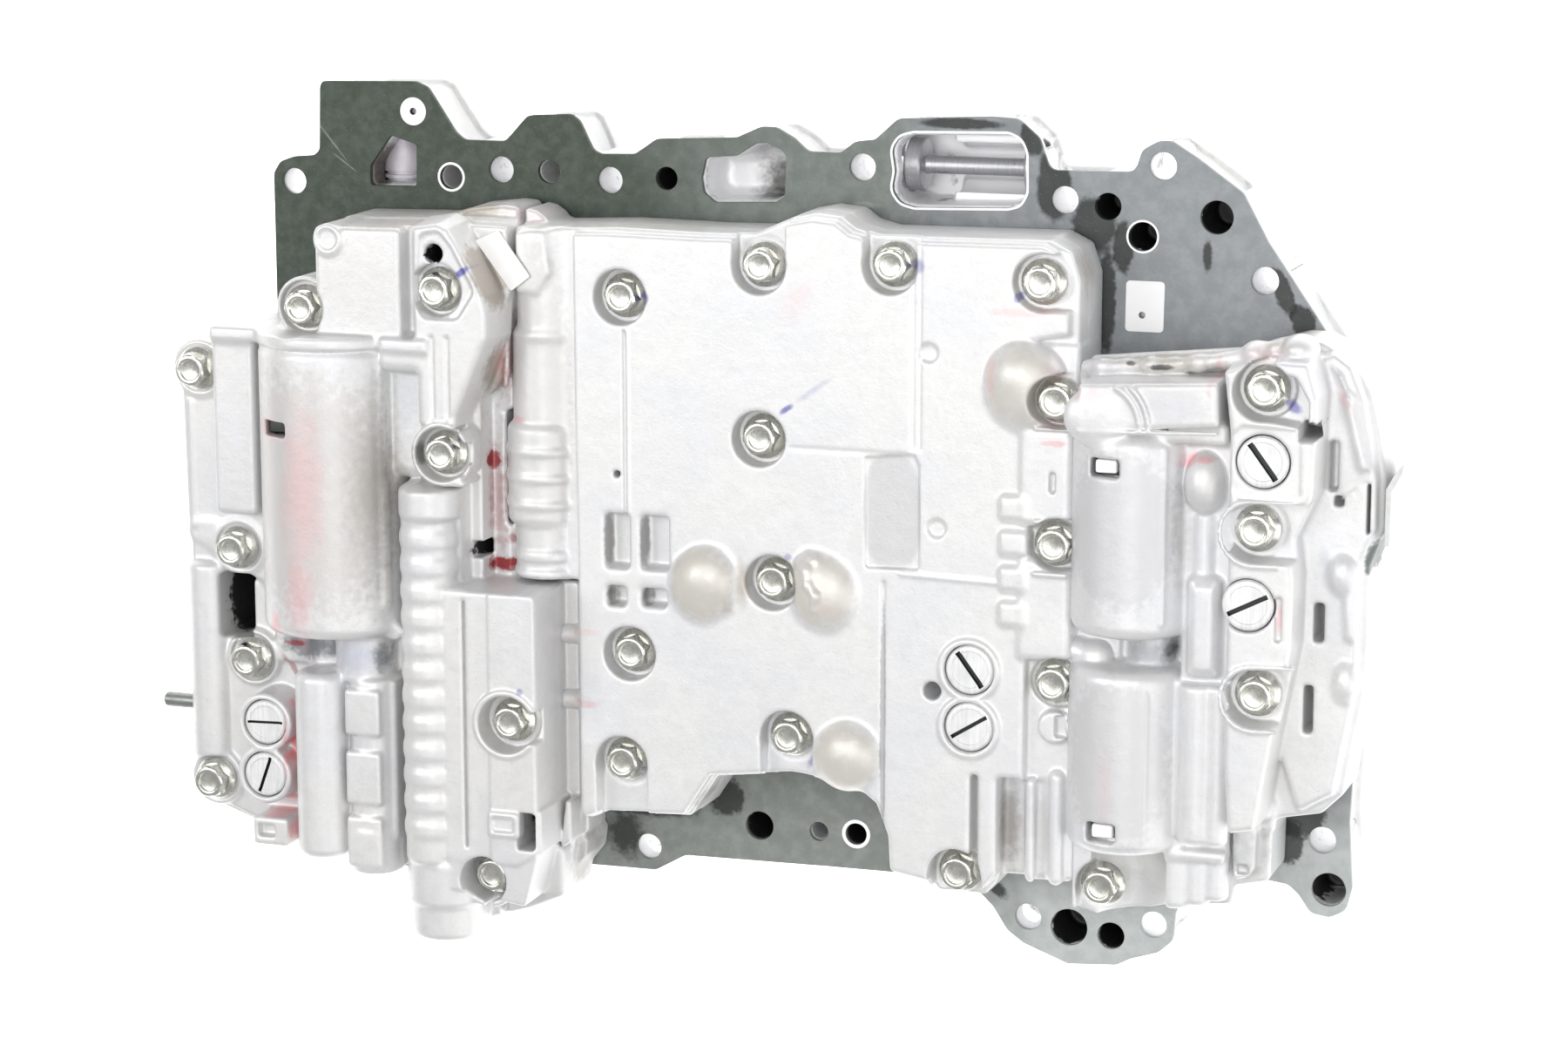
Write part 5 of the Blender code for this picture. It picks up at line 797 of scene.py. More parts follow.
# ---- lower centre body --------------------------------------------------------------
def centre_body():
    f = Field((-70.5, -91, 24.3), (85, 85, 56), STEP)
    outline = [(-63.5, 77.4), (-38, 78.6), (-14, 78.2), (-0.5, 78.4), (4, 80.4), (10, 83), (16, 84.2), (22.7, 83.6), (26.5, 80.8), (32, 79.4), (76.5, 79.8), (82.2, 77), (84.6, 70),
               (84.6, 57), (84.6, -83.5), (66, -84), (60.8, -90), (48, -90), (46, -86.6), (36, -85), (35.3, -74.5), (32.5, -67), (26.8, -62.7), (23, -63), (9, -61.6), (-10.6, -64), (-18, -75.3),
               (-41.8, -76.6), (-47.2, -78.8), (-49.2, -75), (-49.3, -14.6), (-68.2, -14.2), (-68.2, -1.4), (-70.1, -0.2), (-70.1, 28), (-67.2, 29), (-67.0, 49.8), (-64.8, 60)]
    deck = [(-49.4, 77.8), (-38, 78.1), (-14, 77.8), (-0.5, 78.0), (4, 80.0), (10.2, 82.6), (16, 83.8), (22.4, 83.2), (26.2, 80.4), (32, 79.0), (76, 79.4), (81.6, 76.6), (83.6, 70), (83.4, 56), (74.0, 54),
            (73.4, -55), (73.4, -83), (65.6, -83.4), (60.4, -89.6), (48.4, -89.6), (46.2, -86.2), (36.5, -84.6), (35.8, -74.5), (32.8, -66.8), (27, -62.4), (9, -61.2), (-10.9, -63.6), (-18.3, -74.9), (-41.6, -76.2),
            (-47, -78.4), (-48.6, -75), (-48.7, -14), (-49.2, 30)]
    f.prism(outline, 24.3, 38, 1.0, 0.5, True, 0.4, 0.8)
    f.prism(outline[:31] + [(-60, -14.2), (-60, 28), (-64, 60)], 24.5, 46, 1.0, 0.5, True, 0.6, 1.5)
    f.prism(deck, 24.6, 50, 1.2, 0.8, True, 2.2, 2.0)
    # tube on the left with its steps
    f.rod("Y", (-59.0, 41.2), 49, 77.4, 7.7, 1.2, 2.4)
    f.rod("Y", (-59.9, 41.0), 25, 50.4, 8.2, 1.2, 2.4)
    f.rod("Y", (-60.1, 40.6), -0.6, 26.6, 9.8, 2.4, 1.0)
    for y in (4.6, 11.6, 18.6):
        f.rod("Y", (-60.1, 40.6), y, y + 1.4, 10.0, 0.5, 1.4)
    f.rod("Y", (-59.4, 41.2), -14.2, 0.6, 8.3, 0.9, 1.2)
    f.rod("Y", (-59.4, 41.2), -9.6, -7.0, 8.75, 0.8, 1.0)
    f.rod("Y", (-59.4, 41.2), -14.0, -12.0, 8.75, 0.8, 1.0)
    f.box((-63.2, 28, 28), (-50, 77, 42), 1.2, 1.0)
    f.prism([(-65.0, 76.8), (-56.0, 77.4), (-54.4, 66), (-58.2, 60.4), (-65.0, 60.2)], 27, 49.2, 0.8, 1.6, True, 1.5, 1.5)
    f.prism([(-65.2, 76), (-65.4, 82.0), (-62, 81.2), (-59.6, 79.6), (-57, 76)], 24.6, 40.5, 1.0, 1.2, True, 0.5, 1.0)
    f.rod("X", (-29.4, 43.2), -54.6, -42, 2.6, 0.8, 2.2)
    f.rod("X", (-47.0, 43.2), -54.6, -42, 2.6, 0.8, 2.2)
    f.box((-52.0, -76, 27), (-47, -16, 42), 1.0, 1.4)
    # domes
    f.dome(-13.2, -12.4, 48.2, 9.0, 6.4, 1.8, True, 9.8)
    f.dome(-11.4, -9.6, 48.4, 6.6, 6.2, 3.0, True, 6.6)
    f.dome(19.6, -12.2, 48.2, 9.0, 6.2, 1.8, True, 10.0)
    f.dome(16.6, -7.6, 48.6, 4.6, 5.2, 3.0, True, 5.4)
    for a, b in (((13.6, -4.4, 51.0), (16.2, -6.0, 53.4)), ((16.2, -6.0, 53.4), (16.8, -9.4, 54.3)), ((16.8, -9.4, 54.3), (18.9, -12.0, 54.7)), ((18.9, -12.0, 54.7), (18.2, -15.6, 53.9)), ((15.6, -2.9, 50.6), (18.2, -3.4, 52.2))):
        f.bar(a, b, 0.95, 1.3)
    f.dome(25.8, -54.6, 48.4, 9.0, 6.2, 1.8, True, 9.2)
    f.dome(27.0, -52.4, 48.4, 6.0, 6.2, 3.0, True, 6.0)
    f.dome(71.6, 43.4, 47.6, 10.4, 7.4, 1.8, True, 11.2)
    f.dome(69.8, 47.0, 47.6, 6.4, 7.2, 3.0, True, 6.4)
    # east side: lower strip with segmented housing and pads
    f.box((71.6, -82.6, 26), (84.6, 54, 46.8), 1.0, 1.0)
    f.box((70.5, 8.6, 36), (84.4, 33.8, 51.2), 2.2, 1.4)
    f.box((70.5, -25.4, 36), (84.4, 1.0, 51.2), 2.0, 1.4)
    for i in range(4):
        f.box((65.6, 9.8 - i * 9.0, 44), (73.4, 16.4 - i * 9.0, 51.4), 1.6, 1.2)
    for x0, y0, x1, y1 in ((74.6, 9.6, 83.6, 10.8), (74.6, -3.6, 83.6, -2.4), (74.6, 33.2, 83.8, 34.0)):
        f.box((x0, y0, 48.5), (x1, y1, 52.0), 0.4, 0.6)
    f.rod("Z", (58.2, -29.2), 40, 50.9, 8.2, 0.8, 0.6)
    f.rod("Z", (58.2, -44.0), 40, 50.9, 8.2, 0.8, 0.6)
    f.bar((76, -21.4, 46.4), (81.4, -22.2, 46.8), 2.6, 1.4)
    f.bar((40, -5.8, 49.9), (76, -6.6, 49.9), 0.45, 0.6)
    f.bar((74.4, -58, 47.6), (74.4, -82, 47.6), 1.6, 1.0)
    f.bar((80.6, -56, 47.0), (80.6, -82, 47.0), 2.0, 1.0)
    f.rod("Z", (80.0, -42.5), 40, 49.6, 4.2, 1.0, 1.0)
    # faint casting relief on the deck
    f.bar((-33.4, 5, 49.9), (-33.4, 52.5, 49.9), 0.45, 0.5)
    # cuts
    for i in (9, 13, 14, 15):
        seat(f, i, 7.1)
    for i in (10, 11):
        seat(f, i, 7.1, slot=(0, 16))
    for i in (16, 17):
        seat(f, i, 7.1, slot=(0, -20))
    seat(f, 12, 7.1, slot=(12, 0))
    seat(f, 18, 7.1, slot=(0, -14))
    for i in (19, 20, 25):
        seat(f, i, 6.5, slot=(8, 0))
    f.rod("Y", (-57.2, 41.0), -16, 22, 5.2, 0.3, 0.4, False)
    f.rod("Y", (-57.2, 41.0), -14.0, -8, 5.7, 0.3, 0.4, False)
    f.box((-34.6, 5.0, 49.2), (-33.8, 52.5, 60), 0.3, 0.4, False)
    for low, high in (((-39.9, -9.6, 44.5), (-33.4, 4.7, 80)), ((-30.0, -9.4, 44.5), (-22.6, 4.7, 80)), ((-39.6, -19.6, 44.8), (-34.4, -14.3, 80)), ((-30.0, -19.2, 44.8), (-23.2, -14.4, 80))):
        f.box(low, high, 1.2, 1.4, False)
    f.prism([(30.4, 23.6), (43.4, 24.8), (44.6, 22), (44.8, -4.4), (30.6, -4.8)], 49.3, 80, 0.3, 0.4, False, 0, 0.8)
    f.box((10.4, 24.5, 49.6), (41.4, 25.0, 80), 0.3, 0.5, False)
    f.box((42.6, 26.0, 49.5), (43.3, 74.0, 80), 0.3, 0.6, False)
    f.box((44.3, 26.0, 49.5), (45.0, 78.0, 80), 0.3, 0.6, False)
    f.box((35.0, -84.4, 49.5), (35.9, -8.0, 80), 0.3, 0.5, False)
    f.rod("Z", (46.9, 50.7), 49.0, 80, 2.3, 0.6, 0.8, False)
    f.rod("Z", (49.3, 6.4), 49.0, 80, 2.3, 0.6, 0.8, False)
    f.rod("Z", (48.4, -35.4), 38, 80, 2.3, 0.3, 0.5, False)
    f.rod("Z", (-36.6, 15.2), 38, 80, 0.95, 0.2, 0.4, False)
    f.rod("Z", (58.2, -29.2), 38.4, 80, 6.6, 0.3, 0.4, False)
    f.rod("Z", (58.2, -44.0), 38.6, 80, 6.6, 0.3, 0.4, False)
    f.box((58.6, -83.4, 44), (60.6, -56.4, 80), 0.8, 1.0, False)
    f.box((65.6, -95, 42.5), (71.8, -56.6, 80), 1.2, 1.6, False)
    f.box((75.4, -95, 46.0), (77.6, -57.4, 80), 0.8, 1.6, False)
    f.box((78.6, 17.5, 49.4), (80.0, 22.6, 60), 0.4, 0.5, False)
    f.box((80.4, -45.0, 47.4), (83.2, -39.4, 60), 0.5, 0.6, False)
    return build("centre_casting", f, MOST, CAST_CENTRE, ("lower_body_centre",))


# ---- lower right body ---------------------------------------------------------------
def right_body():
    f = Field((84.3, -93, 24.3), (163, 62, 63.5), STEP)
    outline = [(84.5, 47.5), (96, 49.2), (110, 50.5), (123, 51.6), (129, 55.0), (138, 57.6), (143.6, 57.4), (148.6, 55.0), (153.4, 51.0), (156.6, 45.0), (159, 35), (160.6, 26), (160.7, 12.6), (157.0, 2.4), (157.4, -17),
               (156.4, -31), (154.4, -42), (152.4, -55), (147, -60.5), (134.8, -63), (134.6, -79), (126.0, -81), (125, -86), (111, -87.4), (103, -90.6), (90, -92), (84.5, -90.4)]
    f.prism(outline, 24.3, 43, 1.0, 0.5, True, 0.2, 2.0)
    f.box((84.5, -90, 26), (96, 47, 46.0), 0.5, 0.8)
    # head block across the top of the first barrel, with its curved ribs and flat panel
    f.prism([(87.2, 47.4), (123.0, 49.4), (123.6, 37.2), (87.2, 34.0)], 26, 60.4, 1.3, 1.2, True, 1.2, 1.5)
    f.box((86.0, 32.6, 26), (124.4, 38.0, 57.0), 1.6, 1.8)
    for radius, high in ((13.6, 60.5), (11.4, 60.3)):
        ends = [(92.0 + radius * math.cos(math.radians(a)), 36.4 + radius * math.sin(math.radians(a))) for a in range(0, 64, 7)]
        for a, b in zip(ends, ends[1:]):
            if max(a[1], b[1]) < 47.0:
                f.bar((*a, high), (*b, high), 0.5, 0.7)
    f.dome(92.5, 38.5, 58.6, 8.6, 2.6, 1.2, True, 7.4)
    f.bar((88.4, 35.0, 60.3), (122.4, 36.4, 60.3), 0.55, 0.7)
    # first barrel
    f.rod("Y", (98.9, 45.8), -16.6, 34.4, 15.3, 3.6, 1.4)
    f.box((84.5, -16, 26), (115.0, 34.6, 46.6), 0.8, 1.0)
    f.bar((109.0, 31, 57.2), (109.0, -12, 57.2), 0.35, 1.6)
    # neck and the arm on its left
    f.rod("Y", (104.0, 45.0), -27, -15, 6.0, 0.8, 1.4)
    f.box((84.5, -28, 26), (118, -14, 44.6), 0.8, 1.4)
    f.bar((84.9, -22.6, 46.6), (90.4, -23.6, 48.0), 3.2, 1.2)
    f.dome(90.6, -23.6, 48.0, 3.9, 3.6, 1.0)
    # second barrel
    f.rod("Y", (98.1, 45.2), -71.6, -24.6, 14.9, 3.2, 1.2)
    f.box((84.5, -70, 26), (113.2, -24.8, 46.4), 0.8, 1.0)
    f.bar((105.4, -30, 57.6), (105.4, -67, 57.6), 0.6, 1.0)
    # high block on the right, with its east step
    f.prism([(122.4, 52.4), (130, 54.8), (137.6, 55.6), (144.8, 55.4), (147.6, 46), (147.0, 22), (143.6, 14.4), (141.6, 10), (142.9, 1), (142.6, -16), (141.6, -22), (138.2, -40), (134.6, -62.6), (126, -64.4), (124.6, -46), (124.4, 36)],
            26, 60, 1.4, 1.2, True, 2.0, 2.0)
    f.box((112.6, -64, 27), (127, 36, 52), 1.2, 1.4)
    # long dome, the fine rib below it and the pad
    f.dome(118.2, 22.8, 52.8, 5.0, 5.2, 1.2, True, 7.6)
    f.rod("Y", (118.2, 51.6), 17.6, 24, 4.3, 2.0, 1.4)
    f.rod("Y", (118.1, 51.2), -2, 15.0, 2.4, 1.2, 1.6)
    f.box((114.6, -25.6, 40), (122.9, -0.4, 55.0), 1.8, 1.4)
    f.box((116.0, -24.0, 40), (121.7, -2.0, 55.8), 1.4, 0.8)
    # flutes beside the second barrel
    f.rod("Y", (117.4, 50.6), -68, -27.4, 5.0, 1.6, 1.0)
    f.rod("Y", (122.6, 52.2), -68, -27.4, 3.0, 1.2, 1.4)
    f.bar((112.4, -28, 51.0), (112.4, -66, 50.6), 1.2, 1.0)
    # foot with its ridges
    f.prism([(84.7, -68), (111, -70), (123, -69), (122.4, -83.6), (110.8, -87), (102.6, -90), (90.2, -91.4), (84.7, -90)], 25, 44, 1.2, 1.2, True, 0.6, 2.0)
    f.prism([(97.2, -70), (106.6, -70), (106.8, -87.4), (103.0, -89.4), (97.2, -89.8)], 30, 49.6, 1.4, 1.0, True, 1.0, 1.2)
    f.rod("Y", (111.4, 46.2), -86.4, -66, 4.6, 1.8, 0.8)
    f.rod("Y", (116.6, 46.0), -85.4, -66, 3.9, 1.6, 0.8)
    f.rod("Y", (121.4, 45.8), -84.0, -64, 3.4, 1.5, 0.8)
    f.box((107.4, -73.4, 34), (124.6, -70.4, 51.2), 1.2, 1.2)
    f.rod("Z", (92.0, -83.5), 26, 44.5, 7.6, 1.0, 1.2)
    # lower corner: sloping panel
    f.prism([(124.4, -62), (132.6, -61), (132.2, -75.6), (129.8, -78.4), (125.0, -80.0)], 26, 47.4, 1.6, 1.2, True, 3.0, 1.8)
    f.box((124, -66, 27), (135.4, -58, 44), 1.2, 2.0)
    # side deck
    f.prism([(143, 54), (147.6, 55.8), (152.4, 52.4), (155.8, 44.0), (158, 33), (159.4, 25), (159.6, 12.6), (155.8, 2.0), (156.0, -18), (155.0, -32), (153.0, -43), (151.0, -55), (141, -61), (136, -46), (138, 14)], 25, 46, 1.4, 1.4, True, 2.0, 2.0)
    f.bar((151.4, 44, 46.4), (155.6, 28, 46.4), 1.0, 1.8)
    f.bar((152.0, 2, 46.2), (153.6, -14, 46.2), 1.0, 1.6)
    f.dome(151.2, 1.0, 45.2, 3.6, 3.6, 1.6, True, 5.0)
    f.dome(152.6, -26, 45.2, 3.2, 3.2, 1.6, True, 5.0)
    f.prism([(145.6, 53.6), (150.6, 51.4), (153.8, 44), (151.8, 40.6), (148.6, 47)], 30, 50.0, 1.2, 1.8, True, 6.0, 1.2)
    # uneven upper edge
    chain = [(86.5, 48.6, 45), (91, 49.4, 47.6), (97, 49.6, 46.4), (103.4, 50.6, 48.4), (109, 50.6, 47.0), (115.2, 51.8, 49.0), (122, 52.6, 48.0), (129.4, 55.6, 50.6), (136.0, 56.6, 49.0), (141.6, 56.2, 50.0)]
    for a, b in zip(chain, chain[1:]):
        f.bar(a, b, 1.9, 1.8)
    f.bar((88, 49.6, 42), (124, 53.4, 43), 1.7, 1.4)
    f.dome(140.4, 56.4, 50.6, 4.6, 5.4, 1.4, True, 3.8)
    f.dome(129.6, 55.2, 51.0, 3.0, 3.6, 1.4, True, 2.4)
    # ---- cuts
    for i in (21, 22, 23):
        seat(f, i, 7.2)
    # screw recesses that run out to the right
    x, y, z = SCREWS[21]
    f.prism([(x + 1, y - 6.9), (x + 11.4, y - 8.4), (x + 11.4, y - 2), (x + 8, y + 4), (x + 1, y + 4)], z + 1.0, 80, 0.4, 0.8, False, 0, 1.5)
    x, y, z = SCREWS[22]
    f.prism([(x, y + 7.2), (x + 16, y + 7.6), (x + 16, y - 3.0), (x + 9.6, y - 7.2), (x, y - 7.2)], z + 0.2, 80, 0.4, 0.8, False, 0, 1.5)
    x, y, z = SCREWS[23]
    f.prism([(x, y + 7.2), (x + 15, y + 8.0), (x + 15, y - 5.4), (x + 8, y - 7.0), (x, y - 7.2)], z + 0.2, 80, 0.4, 0.8, False, 0, 1.5)
    # raised rims of those two recesses
    for x, y in ((131.5, 12.5), (132.5, -28.5)):
        ring = [(x + 8.0 * math.cos(math.radians(a)), y + 8.0 * math.sin(math.radians(a))) for a in range(90, 271, 15)]
        for a, b in zip(ring, ring[1:]):
            f.bar((*a, 60.0), (*b, 60.0), 0.55, 0.5)
        f.bar((x, y + 8.0, 60.0), (x + 10, y + 8.3, 60.0), 0.55, 0.5)
        f.bar((x, y - 8.0, 60.0), (x + 6, y - 7.8, 60.0), 0.55, 0.5)
    seat(f, 24, 6.5, slot=(0, -14))
    f.rod("Y", (100.6, 46.6), -13.2, 34, 11.4, 0.4, 0.6, False)
    f.box((95, 33, 35.4), (106, 60, 37.4), 0.4, 0.6, False)
    f.box((90.9, 24.0, 42), (98.6, 28.6, 80), 0.8, 0.7, False)
    f.rod("Y", (99.8, 46.4), -100, -27.6, 10.4, 0.4, 0.6, False)
    f.box((91.0, -68.2, 42), (98.8, -63.3, 80), 0.8, 0.7, False)
    f.rod("Z", (133.6, 30.0), 46, 80, 6.7, 0.3, 0.4, False)
    f.rod("Z", (130.7, -5.4), 46.2, 80, 6.7, 0.3, 0.4, False)
    f.prism([(128.4, 38.6), (142.6, 38.2), (142.9, 20.6), (128.0, 20.6), (125.8, 24), (125.6, 35.8)], 59.5, 80, 0.3, 0.6, False, 0, 2.0)
    f.box((141.9, 35.4, 38), (146.0, 39.6, 80), 0.6, 0.7, False)
    f.box((147.0, 21.4, 41), (149.3, 33.8, 80), 0.8, 0.8, False)
    f.box((148.5, 17.7, 38), (150.9, 20.3, 80), 0.6, 0.7, False)
    groove = [(151.2, 20.0), (153.6, 21.6), (155.2, 23.6), (156.3, 26.4)]
    for a, b in zip(groove, groove[1:]):
        f.bar((*a, 46.8), (*b, 46.8), 0.8, 0.6, False)
    f.box((156.5, 11.2, 36), (157.4, 23.8, 80), 0.35, 0.5, False)
    f.box((144.3, -16.4, 34), (146.9, -6.6, 80), 0.8, 0.8, False)
    f.box((142.3, -39.4, 34), (144.7, -27.4, 80), 0.8, 0.8, False)
    f.box((137.6, -13.8, 58.7), (139.0, -3.0, 80), 0.4, 0.7, False)
    f.box((127.0, -76.6, 45.4), (129.6, -74.2, 80), 0.5, 0.6, False)
    return build("right_casting", f, int(MOST * 0.8), CAST_RIGHT, ("lower_body_right",))


# ---- upper body ---------------------------------------------------------------------
def upper_body():
    f = Field((-161, -112, 0), (152, 112, 22), STEP * 1.15)
    outline = inset(PLATE_OUTLINE, 0.8)
    f.prism(outline, 0, 22, 0.5, 0.3, True, 0.0, 2.0)
    wall = flat_distance(f.X[:, :, 0], f.Y[:, :, 0], outline)[:, :, None]
    ridge = np.where((f.Z > 5.0) & (f.Z < 17.0), 1.4, 0.0)
    lanes = np.clip(np.minimum(f.Z - 4.4, 17.6 - f.Z) / 1.6, 0, 1) * 1.5
    # a shallow band round the flank, broken by upright webs
    webs = np.clip((np.abs(((f.X + f.Y * 0.35) % 34.0) - 17.0) - 3.0) / 1.5, 0, 1)
    f.d = np.maximum(f.d, np.where(wall > -6, (wall + lanes * webs), -9)).astype(F4)
    del wall, ridge, lanes, webs
    for x, y, z in SCREWS:
        f.rod("Z", (x, y), 5, 30, 2.9, 0.2, 0.2, False)
    for x, y in MOUNT_HOLES:
        f.rod("Z", (x, y), -9, 30, 3.45, 0.2, 0.3, False)
        f.rod("Z", (x, y), -9, 16, 4.6, 0.3, 0.4, False)
    for i, (x, y, r) in enumerate(PORTS):
        f.rod("Z", (x, y), 6, 30, r - 0.1, 0.8, 0.4, False)
    f.prism(inset(WINDOW_2, 0.5), 9, 30, 3.0, 1.0, False, 0, 1.5)
    f.prism(inset(WINDOW_1, 0.5), 8.0, 30, 0.6, 0.6, False, 0, 1.5)
    f.prism(inset(WINDOW_3, 0.6), 3.4, 30, 0.8, 0.6, False, 0, 3.0)
    f.box((42.6, 84.5, 0), (64.8, 89.6, 14.6), 1.0, 1.0)
    f.box((42.6, 98.0, 0), (64.8, 102.6, 14.6), 1.0, 1.0)
    f.rod("X", (93.5, 11.0), 25.9, 66, 7.1, 0.3, 0.3, False)
    f.rod("Y", (-112.0, 11.0), 72, 107, 6.2, 0.3, 0.3, False)
    for x0, y0, x1, y1 in [(-150, -60, -120, -52), (-150, -30, -90, -22), (-128, -4, -88, 6), (-70, 10, -12, 18), (-60, 36, 30, 43), (14, -34, 66, -26),
                           (70, 20, 120, 27), (96, -60, 138, -52), (-20, -62, 40, -56)]:
        f.box((x0, y0, -8), (x1, y1, 3.6), 1.6, 0.6, False)
    return build("upper_casting", f, int(MOST * 0.9), CAST_UPPER, ("upper_body",))


left_body()
centre_body()
right_body()
upper_body()


# =====================================================================================
# Plate, screws, plugs, valves and small pieces
# =====================================================================================
def place(obj, replaces=(), body=ROOT):
    bpy.context.scene.collection.objects.link(obj) if obj.name not in bpy.context.scene.collection.objects else None
    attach(obj, body)
    if replaces:
        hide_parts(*replaces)
    return obj


def circle(x, y, r, n=32):
    return [(x + r * math.cos(math.tau * i / n), y + r * math.sin(math.tau * i / n)) for i in range(n)]


def sheet(name, outline, holes, low, high, edge, mat):
    curve = bpy.data.curves.new(name, "CURVE")
    curve.dimensions = "2D"
    curve.fill_mode = "BOTH"
    curve.extrude = ((high - low) / 2 - edge) * MM
    curve.bevel_depth = edge * MM
    curve.bevel_resolution = 1
    curve.offset = -edge * MM
    for ring in [outline, *holes]:
        spline = curve.splines.new("POLY")
        spline.points.add(len(ring) - 1)
        for point, (x, y) in zip(spline.points, ring):
            point.co = ((x + DX) * MM, y * MM, 0, 1)
        spline.use_cyclic_u = True
    rough = bpy.data.objects.new(name + "_line", curve)
    bpy.context.scene.collection.objects.link(rough)
    rough.location.z = (low + high) / 2 * MM
    bpy.context.view_layer.update()
    graph = bpy.context.evaluated_depsgraph_get()
    data = bpy.data.meshes.new_from_object(rough.evaluated_get(graph))
    data.transform(rough.matrix_world)
    bpy.data.objects.remove(rough, do_unlink=True)
    data.materials.clear()
    data.materials.append(mat)
    data.shade_smooth()
    data.set_sharp_from_angle(angle=math.radians(35))
    return bpy.data.objects.new(name, data)


holes = [circle(x, y, 2.9, 20) for x, y, z in SCREWS] + [circle(x, y, 3.5) for x, y in MOUNT_HOLES] + [circle(x, y, r) for x, y, r in PORTS] + [circle(x, y, r, 16) for x, y, r in ORIFICES]
holes += [rounded(WINDOW_1, 1.2), rounded(WINDOW_2, 1.6), rounded(WINDOW_3, 4.0, 6)]
place(sheet("plate", rounded(PLATE_OUTLINE, 3.0), holes, 22.35, 23.95, 0.12, COATING), ("separator_plate",))


def ring_piece(name, inner, outer, z0, z1, mat, body=ROOT):
    return place(sheet(name, outer, [inner] if inner else [], z0, z1, 0.02, mat), (), body)


# bare rims, painted pure white as a highlight
for i, (x, y, inner, outer) in enumerate(RINGS):
    ring_piece(f"bare_ring_{i}", circle(x, y, inner), circle(x, y, outer), 23.96, 24.06, BARE_RIM_HIGHLIGHT)
ring_piece("bare_window_rim", inset(rounded(WINDOW_3, 4.0, 6), -0.02), inset(rounded(WINDOW_3, 4.0, 6), -0.62), 23.96, 24.06, BARE_RIM_HIGHLIGHT)
ring_piece("bare_patch", circle(94.7, 59.0, 0.85), rounded([(90.4, 54.8), (100.2, 54.8), (100.4, 67.6), (90.5, 67.6)], 1.2), 23.96, 24.08, BARE_RIM_HIGHLIGHT)


def lathe(bm, profile, n=48, axis="Z", centre=(0, 0, 0), close=True):
    """profile is (radius, height) from one end to the other."""
    rows = []
    for r, h in profile:
        if r < 1e-6:
            rows.append([bm.verts.new((0, 0, h))])
        else:
            rows.append([bm.verts.new((r * math.cos(math.tau * i / n), r * math.sin(math.tau * i / n), h)) for i in range(n)])
    for a, b in zip(rows, rows[1:]):
        for i in range(n):
            j = (i + 1) % n
            if len(a) == 1 and len(b) == 1:
                continue
            if len(a) == 1:
                bm.faces.new((a[0], b[j], b[i]))
            elif len(b) == 1:
                bm.faces.new((a[i], a[j], b[0]))
            else:
                bm.faces.new((a[i], a[j], b[j], b[i]))
    verts = [v for row in rows for v in row]
    turn = {"Z": Matrix.Identity(4), "X": Matrix.Rotation(math.radians(90), 4, "Y"), "Y": Matrix.Rotation(math.radians(-90), 4, "X")}[axis]
    bmesh.ops.transform(bm, matrix=Matrix.Translation(Vector(centre)) @ turn, verts=verts)
    return verts


def solid(name, bm, mat, angle=32):
    bmesh.ops.recalc_face_normals(bm, faces=bm.faces)
    bmesh.ops.scale(bm, vec=(MM, MM, MM), verts=bm.verts)
    data = bpy.data.meshes.new(name)
    bm.to_mesh(data)
    bm.free()
    data.materials.append(mat)
    data.shade_smooth()
    data.set_sharp_from_angle(angle=math.radians(angle))
    return data


def screw_mesh():
    """Hexagon flange screw, seat at z = 0: dished head, chamfered hexagon, conical flange."""
    bm = bmesh.new()
    lathe(bm, [(0, -30), (2.2, -30), (2.5, -29.6), (2.5, 0.0), (5.55, 0.0), (5.75, 0.25), (5.75, 0.75), (5.5, 1.05), (4.4, 1.75), (0, 1.75)], 40)
    # hexagon with the corners taken off towards the top
    n = 48
    across, top = 4.0, 5.5
    rows = []

    def hexagon(angle):
        return across / math.cos((angle + math.pi / 6) % (math.pi / 3) - math.pi / 6)
    for r_limit, z in ((9, 1.2), (9, 4.55), (4.45, 4.85), (4.2, 5.15), (3.85, 5.42), (3.5, 5.5), (3.1, 5.5), (2.85, 5.42), (2.5, 4.95), (1.6, 4.75)):
        row = []
        for i in range(n):
            a = math.tau * i / n
            r = min(hexagon(a), r_limit)
            row.append(bm.verts.new((r * math.cos(a), r * math.sin(a), z)))
        rows.append(row)
    centre = bm.verts.new((0, 0, 4.72))
    for a, b in zip(rows, rows[1:]):
        for i in range(n):
            j = (i + 1) % n
            bm.faces.new((a[i], a[j], b[j], b[i]))
    for i in range(n):
        bm.faces.new((rows[-1][i], rows[-1][(i + 1) % n], centre))
    return solid("flange_screw", bm, PLATED, 28)


SCREW = screw_mesh()
TURNS = [10, 32, 5, 48, 22, 15, 40, 28, 3, 18, 44, 27, 8, 36, 12, 50, 24, 33, 6, 20, 41, 14, 30, 2, 26, 38]
for number, (x, y, z) in enumerate(SCREWS, 1):
    screw = bpy.data.objects.new(f"screw_{number:02d}", SCREW)
    bpy.context.scene.collection.objects.link(screw)
    screw.location = ((x + DX) * MM, y * MM, (z + 0.3) * MM)
    screw.rotation_euler.z = math.radians(TURNS[number - 1])
    place(screw, (f"flange_bolt_{number:02d}",))


